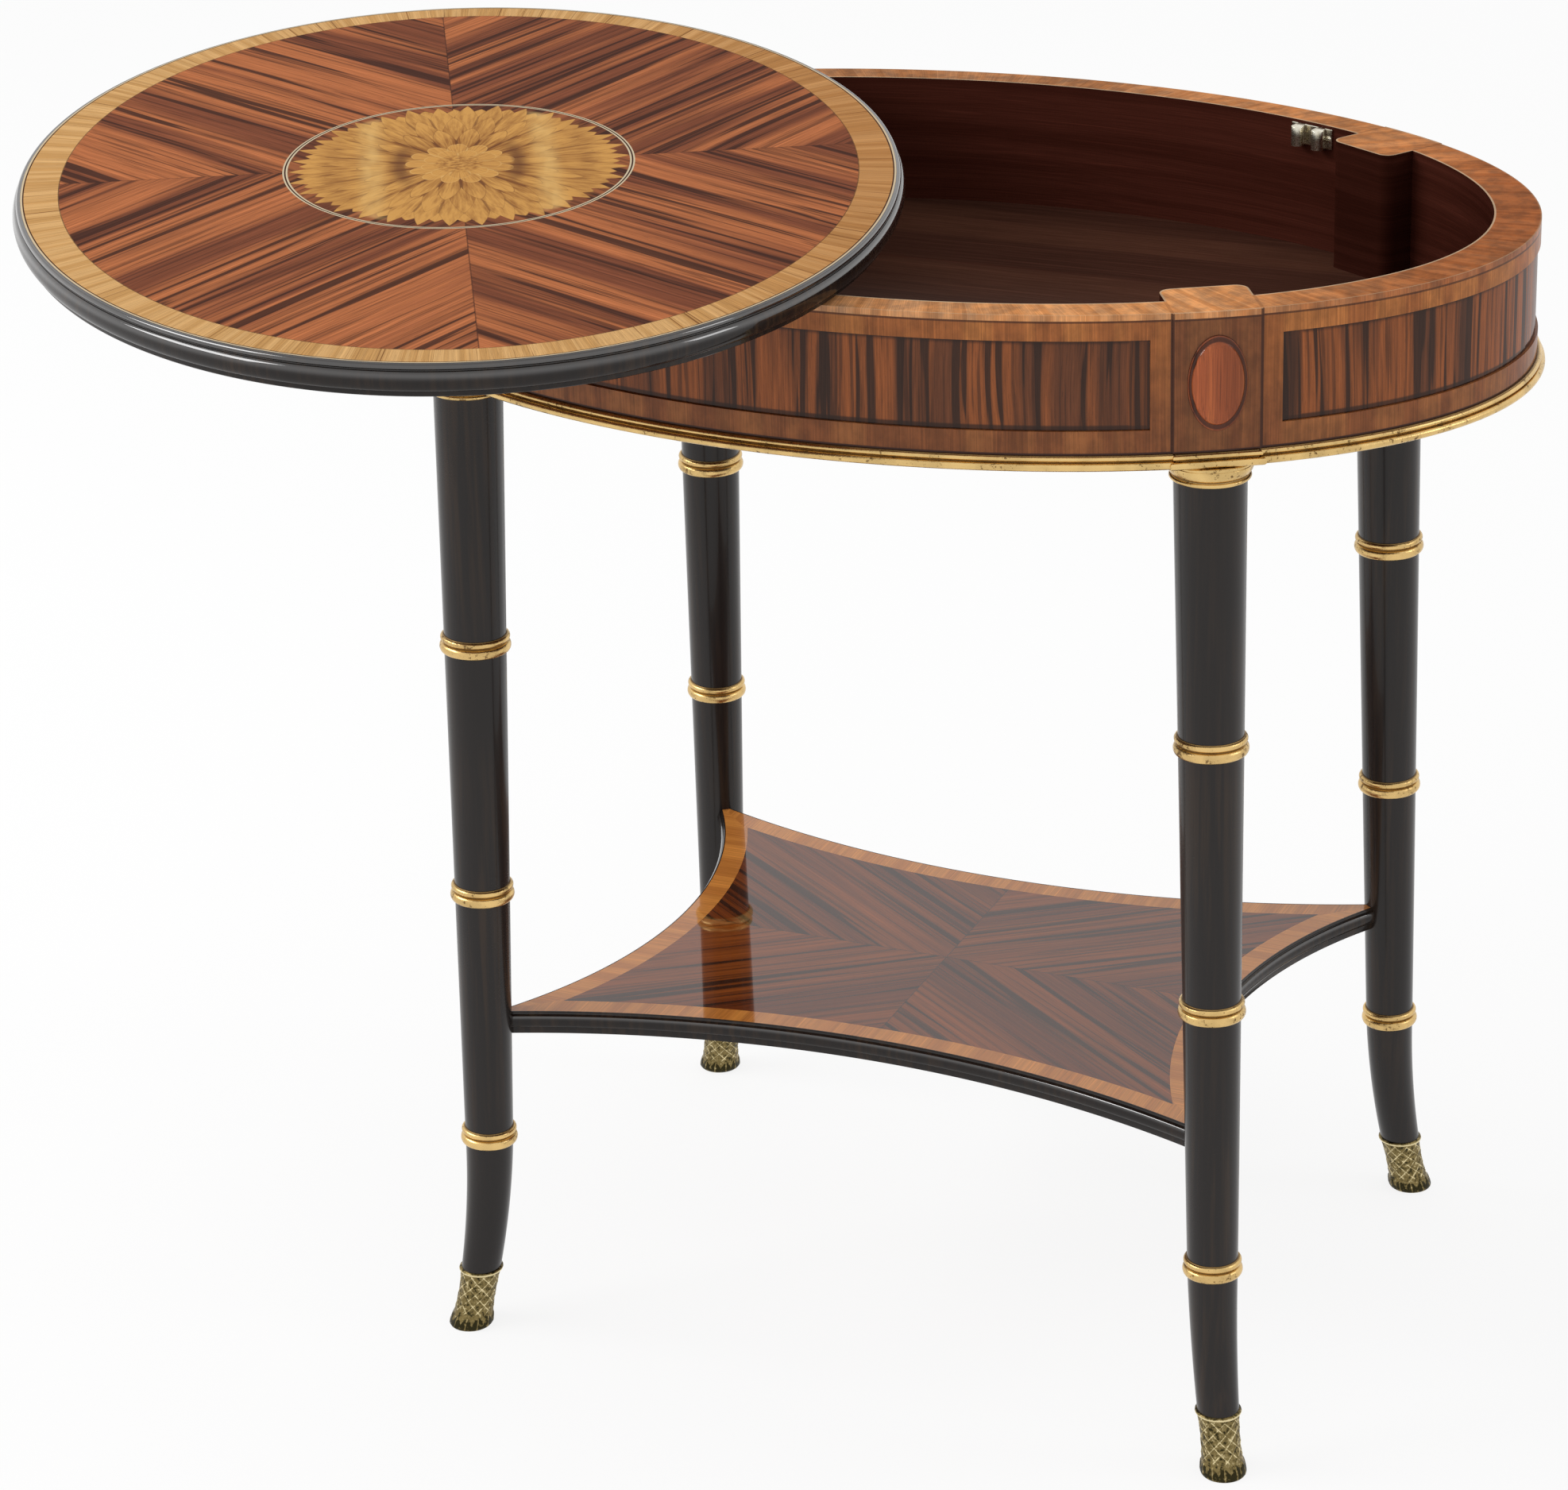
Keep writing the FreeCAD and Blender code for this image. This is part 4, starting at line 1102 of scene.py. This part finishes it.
class SIDETABLE_OT_rings(TablePiece, bpy.types.Operator):
    """Turn the gilt double-reeded rings threaded on the legs"""

    bl_idname = "side_table.rings"
    bl_label = "Rings"

    def execute(self, context):
        outline = profile(
            (-0.6, -0.1), (0.25, -0.1), (0.5, -0.3),
            half_round((0.55, -0.5), (0.75, -3.9), 1.45, 11),
            (0.45, -4.2), (0.45, -4.6),
            half_round((0.7, -4.8), (0.5, -10.6), 2.05, 14),
            (0.2, -10.9), (-0.6, -10.9),
        )
        for node, height in RING_HEIGHTS.items():
            top = leg_centre(np.array(height + 5.5))
            rings = lathe(outline, self.detail().turned_steps, float(leg_radius(height)))
            rings = tilted(rings, [-SPLAY[0], -SPLAY[1], BOARD_FOOT], top)
            relief = [profile_relief(outline, len(rings), False)] * 4
            piece("gilt_" + node, four(rings, True), "base", "gilt", "gilt", [node], 50.0, relief)
        return {"FINISHED"}


class SIDETABLE_OT_capitals(TablePiece, bpy.types.Operator):
    """Turn the gilt collars at the heads of the legs: a fillet, a broad ovolo and a bead"""

    bl_idname = "side_table.capitals"
    bl_label = "Capitals"

    def execute(self, context):
        outline = profile(
            (-0.6, -0.02), (1.6, -0.02), (2.6, -0.3), (3.15, -0.8), (3.35, -1.5), (3.3, -2.0),
            half_round((3.15, -2.2), (1.0, -7.9), 0.8, 14),
            (0.75, -8.15), (0.7, -8.55),
            half_round((0.8, -8.75), (0.6, -11.3), 1.35, 12),
            (0.2, -11.45), (-0.6, -11.45),
        )
        rings = lathe(outline, self.detail().turned_steps, 19.8)
        middle = leg_centre(np.array(BOARD_FOOT - 5.75))
        rings = rings + np.array([middle[0], middle[1], BOARD_FOOT])
        # Dark wax lies in the groove over the bead
        hollow = np.exp(-((outline[:, 1] + 8.35) / 0.5) ** 2)
        relief = [np.tile(np.clip(1.0 - hollow, 0.0, 1.0), len(rings))] * 4
        piece("gilt_capitals", four(rings, True), "base", "gilt", "gilt", ["capitals"], 50.0, relief)
        return {"FINISHED"}


# A cast foot's body as (height, radius), the band of lozenges under its rim, and its greatest radius
FOOT_BODY = np.array([
    (0.0, 12.4), (0.7, 12.8), (2.0, 12.9), (5.0, 12.5), (8.0, 11.8), (10.0, 11.4), (14.0, 11.0), (20.0, 10.9),
    (27.0, 11.1), (33.0, 11.5), (34.2, 11.6), (34.5, 12.4), (35.0, 13.0), (35.6, 13.25), (36.3, 13.1),
    (36.8, 12.5), (37.0, 11.4),
])
BAND_LOW, BAND_HIGH, BAND_PITCH = 8.5, 34.2, 7.4
FOOT_LIMIT = 13.45


class SIDETABLE_OT_feet(TablePiece, bpy.types.Operator):
    """Cast the four brass feet: a rim, a band of lozenges and a ring of leaves"""

    bl_idname = "side_table.feet"
    bl_label = "Cast feet"

    def execute(self, context):
        detail = self.detail()
        heights = np.unique(np.concatenate([np.linspace(0.0, BAND_HIGH, 96), FOOT_BODY[:, 0]]))[:, None]
        turn = circle(detail.foot_steps)[None, :]
        radius = np.interp(heights, FOOT_BODY[:, 0], FOOT_BODY[:, 1]) + np.zeros_like(turn)
        # Lozenges: two families of lines, and r rises by exp(-(d / w)^2) at d from the nearest line
        low_end = np.clip((heights - BAND_LOW) / 2.0, 0.0, 1.0)
        window = low_end * np.clip((BAND_HIGH + 0.2 - heights) / 0.8, 0.0, 1.0)
        lines = []
        for way in (1, -1):
            phase = turn * detail.lattice_count / (2 * math.pi) + way * heights / BAND_PITCH
            lines.append(np.exp(-(((phase + 0.5) % 1.0 - 0.5) / 0.042) ** 2))
        lattice = np.maximum(*lines) + 0.7 * lines[0] * lines[1]
        # Leaves: the ring's top edge waves between its tips and its hollows, and each leaf has a rib
        wave = np.abs(np.cos(turn * detail.leaf_count / 2))
        leaf = np.clip((3.2 + 4.6 * wave ** 0.7 - heights) / 0.8, 0.0, 1.0) * np.clip(heights / 1.2, 0.2, 1.0)
        rib = np.exp(-((1 - wave) / 0.02) ** 2)
        raised = detail.lattice_rise * window * lattice + leaf * (0.3 + 0.18 * rib)
        relief = np.clip(0.42 + window * lattice * 0.6 - leaf * (0.42 - 0.5 * rib), 0.0, 1.0)
        rim = np.interp(heights, [BAND_HIGH, 34.8, 35.6, 36.4], [0.3, 1.5, 1.4, 0.3])
        relief = np.where(heights > BAND_HIGH, rim, relief)
        rings = level_rings(heights[:, 0], np.minimum(radius + raised, FOOT_LIMIT), detail.foot_steps)
        values = [np.concatenate([relief.reshape(-1), [0.2, 0.2]])] * 4
        piece("cast_feet", four(rings), "base", "antique_brass", "cast_brass", ["sabots"], 70.0, values)
        return {"FINISHED"}


class SIDETABLE_OT_paterae(TablePiece, bpy.types.Operator):
    """Carve the raised ovals on the corner blocks"""

    bl_idname = "side_table.paterae"
    bl_label = "Paterae"

    def execute(self, context):
        # From the middle out: a dome that falls off by the fourth-power law, a groove and a small bead
        edge = 0.845
        dome = np.sin(np.linspace(0.06, math.pi / 2, 16)) * edge
        share = np.concatenate([dome, [0.86, 0.88, 0.92, 0.945, 0.965, 0.98, 0.992, 1.0]])
        crown = 0.6 + 0.4 * np.sqrt(np.clip(1.0 - (dome / edge) ** 4, 0.0, 1.0))
        rise = np.concatenate([crown, [0.38, 0.2, 0.14, 0.22, 0.36, 0.4, 0.32, 0.05]])
        turn = circle(96)
        along = PATERA_WIDE * share[:, None] * np.cos(turn)
        up = PATERA_MIDDLE + PATERA_HIGH * share[:, None] * np.sin(turn)
        bow = along ** 2 / (2 * BLOCK_BOW)
        rings = on_block(along, 1.0 + 2.35 * rise[:, None] - bow, up)
        back = on_block(along[-1:], -0.5 - bow[-1:], up[-1:])
        values = [np.concatenate([np.repeat(rise, len(turn)), np.zeros(len(turn)), [1.0, 0.0]])] * 4
        shells = four(np.concatenate([rings, back]))
        piece("raised_ovals", shells, "base", "patera_veneer", "patera_wood", ["paterae"], 60.0, values)
        return {"FINISHED"}


class SIDETABLE_OT_shelf_edge(TablePiece, bpy.types.Operator):
    """Run the stepped ebonised edging along the shelf's hollow sides"""

    bl_idname = "side_table.shelf_edge"
    bl_label = "Shelf edge"

    def execute(self, context):
        outline = profile(
            (-0.6, -0.05), (0.0, 0.0), (0.7, 0.0), (0.85, -0.15), (0.85, -1.6), (1.3, -1.9),
            half_round((1.4, -2.0), (1.6, -9.6), 1.85, 16),
            (1.1, -9.9), (1.0, -10.6), (1.0, -13.6), (0.8, -14.0), (-0.6, -14.0),
        )
        middle = (SHELF_TOP + SHELF_FOOT) / 2
        corner = LEG_HEAD + SPLAY * (BOARD_FOOT - middle) / BOARD_FOOT - BLOCK_OUT * CORNER_SETBACK
        count = 72
        shells = []
        for axis, hollow in enumerate((END_HOLLOW, SIDE_HOLLOW)):
            chord = corner[1 - axis]
            radius = (chord ** 2 + hollow ** 2) / (2 * hollow)
            centre = corner[axis] - hollow + radius
            half = math.asin(chord / radius)
            sweep = np.linspace(-half, half, count)[:, None]
            reach = radius - outline[None, :, 0]
            away, aside = centre - reach * np.cos(sweep), reach * np.sin(sweep)
            up = np.broadcast_to(SHELF_TOP + outline[None, :, 1], away.shape)
            rings = np.stack([away, aside, up] if axis == 0 else [aside, away, up], -1)
            flip = np.array([-1.0, 1.0, 1.0] if axis == 0 else [1.0, -1.0, 1.0])
            shells += [skin(rings, False), skin(rings * flip, False)]
        shine = 0.8 * np.exp(-((outline[:, 1] + 2.8) / 0.9) ** 2)
        relief = [np.concatenate([np.tile(shine, count), [0.0, 0.0]])] * 4
        piece("shelf_edging", shells, "base", "ebonised_edge", "black_edge", ["shelf_edge"], relief=relief)
        return {"FINISHED"}


def rounded_prism(half_x, half_y, height, corner, chamfer=0.3, count=6):
    """An upright prism with round corners and softened top and bottom arrises, standing on z = 0."""
    turns = np.concatenate([np.linspace(0, math.pi / 2, count) + math.pi / 2 * step for step in range(4)])
    centre = np.repeat(np.array(CORNERS), count, 0) * np.array([half_x - corner, half_y - corner])
    way = np.stack([np.cos(turns), np.sin(turns)], -1)
    rings = []
    for inset, z in ((chamfer, 0.0), (0.0, chamfer), (0.0, height - chamfer), (chamfer, height)):
        flat = centre + way * (corner - min(inset, corner * 0.9))
        rings.append(np.concatenate([flat, np.full((len(flat), 1), z)], -1))
    return np.stack(rings)


def turned_pin(radius, height, dome, count=32):
    """An upright pin with a low domed top, standing on z = 0: r = R cos s, z = H + D sin s over the dome."""
    bend = np.linspace(0.0, math.pi / 2 * 0.95, 7)
    radii = np.concatenate([[radius, radius], radius * np.cos(bend)])
    heights = np.concatenate([[0.0, height * 0.5], height + dome * np.sin(bend)])
    turn = circle(count)
    ring = np.stack([np.cos(turn), np.sin(turn)], -1)
    flat = radii[:, None, None] * ring[None]
    return np.concatenate([flat, np.broadcast_to(heights[:, None, None], flat.shape[:2] + (1,))], -1)


def slotted_head(radius, rise, slot, count=48):
    """A screw's domed head with a slot across it: z is the rise times (1 less r squared), less the slot's
    depth near its middle line."""
    share = np.linspace(1.0, 0.04, 12)[:, None]
    turn = circle(count)[None, :]
    x, y = radius * share * np.cos(turn), radius * share * np.sin(turn)
    z = rise * (1.0 - share ** 2) + 0.0 * turn
    z = z - np.clip((slot - np.abs(y)) / (slot * 0.3), 0.0, 1.0) * rise * 0.9 * (share < 0.97)
    top = np.stack([x, y, z], -1)
    skirt = top[:1].copy()
    skirt[..., 2] = -0.8
    return np.concatenate([skirt, top])


# Where round the well's oval the catch stands
CATCH_TURN = math.radians(58.9)


def on_back_wall(points):
    """Points drawn with +Y into the well, laid where the catch stands on the well's back wall."""
    place = np.array([WELL_OVAL[0] * math.cos(CATCH_TURN), WELL_OVAL[1] * math.sin(CATCH_TURN)])
    inward = -unit([math.cos(CATCH_TURN) / WELL_OVAL[0], math.sin(CATCH_TURN) / WELL_OVAL[1]])
    across = np.array([inward[1], -inward[0]])
    flat = place + points[..., :1] * across + points[..., 1:2] * inward
    return np.concatenate([flat, points[..., 2:]], -1)


# The catch: its foot, its height, half its plate's width and thickness, a roller's radius and how far it
# stands to the side. The sag is how far the wall's curve falls away behind the plate, and the reach is where
# the rollers' middles stand
CATCH_LOW, CATCH_HIGH = 668.4, 12.0
PLATE_HALF, PLATE_THIN = 15.0, 0.65
ROLLER_RADIUS, ROLLER_ASIDE = 3.8, 7.5
CATCH_SAG = (2 * PLATE_HALF) ** 2 / (8 * WELL_OVAL[0])
PLATE_FACE = CATCH_SAG + 2 * PLATE_THIN
ROLLER_REACH = PLATE_FACE + ROLLER_RADIUS - 0.3

# The underside of the striker's plate, where its screws are
STRIKER_FACE = 682.8


class SIDETABLE_OT_catch(TablePiece, bpy.types.Operator):
    """Make the double roller catch on the back wall and the striker's screws"""

    bl_idname = "side_table.catch"
    bl_label = "Catch"

    def execute(self, context):
        plate = rounded_prism(PLATE_HALF, PLATE_THIN, CATCH_HIGH, 0.6)
        shells = [skin(on_back_wall(plate + [0.0, CATCH_SAG + PLATE_THIN, CATCH_LOW]), False)]
        screws = []
        for side in (-1, 1):
            arm = rounded_prism(3.0, 2.3, CATCH_HIGH, 1.2) + [side * ROLLER_ASIDE, CATCH_SAG + 2.9, CATCH_LOW]
            pin = turned_pin(ROLLER_RADIUS, 11.2, 0.8) + [side * ROLLER_ASIDE, ROLLER_REACH, CATCH_LOW]
            head = slotted_head(2.1, 0.7, 0.35)[..., [0, 2, 1]]
            head = head + [side * 12.6, PLATE_FACE, CATCH_LOW + CATCH_HIGH / 2]
            shells += [skin(on_back_wall(part), False) for part in (arm, pin, head)]
            screw = slotted_head(2.0, 0.5, 0.35) * [1.0, 1.0, -1.0] + [side * 8.5, ROLLER_REACH, STRIKER_FACE]
            screws.append(skin(swung(on_back_wall(screw)), False))
        piece("roller_catch", shells, "base", "catch_metal", "bright_metal", ["catch"], 35.0)
        piece("striker_screws", screws, "top", "catch_metal", "bright_metal", (), 35.0)
        return {"FINISHED"}


# The camera as solved from the photograph: metres, radians and mm
CAMERA_PLACE = (0.9717, -2.39616, 1.43379)
CAMERA_YAW, CAMERA_PITCH, CAMERA_ROLL = -0.42152, 0.39987, -0.02923
CAMERA_LENS = 109.44

WHITE = (1.0, 1.0, 1.0, 1.0)

# The floor's rings in metres, how many steps run round them, and how far its shadow is bleached
FLOOR_RADII = (1.0, 3.0, 8.0, 16.0)
FLOOR_STEPS = 96
FLOOR_BLEACH = 0.84


class SIDETABLE_OT_studio(TablePiece, bpy.types.Operator):
    """Set the camera at the photograph's viewing angle, the pale floor and the soft light"""

    bl_idname = "side_table.studio"
    bl_label = "Studio"

    def execute(self, context):
        scene = context.scene
        studio = scene.side_table_studio
        ahead = np.array([
            math.sin(CAMERA_YAW) * math.cos(CAMERA_PITCH),
            math.cos(CAMERA_YAW) * math.cos(CAMERA_PITCH),
            -math.sin(CAMERA_PITCH),
        ])
        level = np.array([math.cos(CAMERA_YAW), -math.sin(CAMERA_YAW), 0.0])
        above = np.cross(level, ahead)
        right = math.cos(CAMERA_ROLL) * level + math.sin(CAMERA_ROLL) * above
        up = math.cos(CAMERA_ROLL) * above - math.sin(CAMERA_ROLL) * level
        data = bpy.data.cameras.new("camera")
        data.lens, data.sensor_width, data.sensor_fit = CAMERA_LENS, 36.0, "HORIZONTAL"
        data.clip_end = 60.0
        camera = bpy.data.objects.new("camera", data)
        turn = Matrix((right, up, -ahead)).transposed().to_4x4()
        camera.matrix_world = Matrix.Translation(CAMERA_PLACE) @ turn
        scene.collection.objects.link(camera)
        scene.camera = camera
        scene.view_settings.view_transform = "Standard"
        self.floor(scene)
        world = bpy.data.worlds.new("studio")
        scene.world = world
        world.use_nodes = True
        w = Wiring(world.node_tree)
        # White where it is seen or mirrored, and dimmer where it lights the table
        strength = w.times_add(w.seen(), 1.0 - studio.dome, studio.dome)
        w.feed(world.node_tree.nodes["Background"], {"Color": WHITE, "Strength": strength})
        self.lamp(scene, "key", studio.key, (2.2, 1.0), (-2.6, -1.2, 2.4))
        self.lamp(scene, "side", studio.side, (0.7, 0.7), (2.4, 0.6, 1.9))
        return {"FINISHED"}

    def lamp(self, scene, name, power, size, place):
        """An oblong area lamp, its long side level, aimed at the middle of the table."""
        data = bpy.data.lights.new(name, "AREA")
        data.shape, data.energy = "RECTANGLE", power
        data.size, data.size_y = size
        lamp = bpy.data.objects.new(name, data)
        lamp.location = place
        lamp.rotation_euler = (Vector((0.0, 0.0, 0.45)) - Vector(place)).to_track_quat("-Z", "Y").to_euler()
        scene.collection.objects.link(lamp)

    def floor(self, scene):
        """A wide pale round floor, lit evenly enough to read as white while it keeps the shadows."""
        turn, radii = circle(FLOOR_STEPS), np.array(FLOOR_RADII)[:, None]
        flat = np.stack([radii * np.cos(turn), radii * np.sin(turn), 0.0 * radii * turn], -1).reshape(-1, 3)
        verts = np.vstack([flat, [[0.0, 0.0, 0.0]]])
        inner = np.arange(len(FLOOR_RADII) - 1)[:, None] * FLOOR_STEPS
        spot = np.arange(FLOOR_STEPS)[None, :]
        beside = (spot + 1) % FLOOR_STEPS
        outer = inner + FLOOR_STEPS
        quads = np.stack([inner + spot, outer + spot, outer + beside, inner + beside], -1)
        fan = np.stack([np.full(FLOOR_STEPS, len(flat)), spot[0], beside[0]], -1)
        mesh = bpy.data.meshes.new("floor")
        mesh.from_pydata(verts.tolist(), [], quads.reshape(-1, 4).tolist() + fan.tolist())
        floor = bpy.data.objects.new("floor", mesh)
        scene.collection.objects.link(floor)
        material = bpy.data.materials.new("floor_white")
        material.use_nodes = True
        shader = material.node_tree.nodes["Principled BSDF"]
        w = Wiring(material.node_tree)
        place = w.put("ShaderNodeTexCoord", {}).outputs["Object"]
        cloud = w.noise(place, (1.2, 1.2, 1.2), 2.0)
        tint = w.blend(cloud, (0.97, 0.97, 0.97, 1.0), (0.985, 0.985, 0.985, 1.0))
        w.feed(shader, {"Base Color": tint, "Roughness": 0.9, "Specular IOR Level": 0.0})
        # Seen or mirrored, the floor is mostly plain white, so that only a faint shadow is left on it
        glow = w.put("ShaderNodeEmission", {"Color": WHITE, "Strength": 1.0}).outputs[0]
        share = w.times(w.seen(), FLOOR_BLEACH)
        mixed = w.put("ShaderNodeMixShader", {0: share, 1: shader.outputs[0], 2: glow}).outputs[0]
        w.feed(material.node_tree.nodes["Material Output"], {"Surface": mixed})
        mesh.materials.append(material)


OPERATORS = (
    SIDETABLE_OT_veneers,
    SIDETABLE_OT_top_edge,
    SIDETABLE_OT_base_moulding,
    SIDETABLE_OT_legs,
    SIDETABLE_OT_rings,
    SIDETABLE_OT_capitals,
    SIDETABLE_OT_feet,
    SIDETABLE_OT_paterae,
    SIDETABLE_OT_shelf_edge,
    SIDETABLE_OT_catch,
    SIDETABLE_OT_studio,
)


class SIDETABLE_PT_panel(bpy.types.Panel):
    """Buttons for the table's pieces"""

    bl_idname = "SIDETABLE_PT_panel"
    bl_label = "Side Table"
    bl_space_type = "VIEW_3D"
    bl_region_type = "UI"
    bl_category = "Side Table"

    def draw(self, context):
        """A button for each piece, then the settings in boxes."""
        for operator in OPERATORS:
            self.layout.operator(operator.bl_idname)
        for name, cls in GROUPS.items():
            box = self.layout.box()
            for key in cls.__annotations__:
                box.prop(getattr(context.scene, name), key)


GROUPS = {
    "side_table_detail": SideTableDetail,
    "side_table_studio": SideTableStudio,
    "side_table_finishes": SideTableFinishes,
}


def register():
    """Registers the settings, the operators and the panel."""
    for cls in tuple(GROUPS.values()) + OPERATORS + (SIDETABLE_PT_panel,):
        bpy.utils.register_class(cls)
    for name, cls in GROUPS.items():
        setattr(bpy.types.Scene, name, PointerProperty(type=cls))


def unregister():
    """Takes the settings, the operators and the panel away again."""
    for name in GROUPS:
        delattr(bpy.types.Scene, name)
    for cls in (SIDETABLE_PT_panel,) + OPERATORS + tuple(GROUPS.values()):
        bpy.utils.unregister_class(cls)


def main():
    """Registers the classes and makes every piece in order."""
    register()
    for operator in OPERATORS:
        module, name = operator.bl_idname.split(".")
        getattr(getattr(bpy.ops, module), name)()


if __name__ == "__main__":
    main()
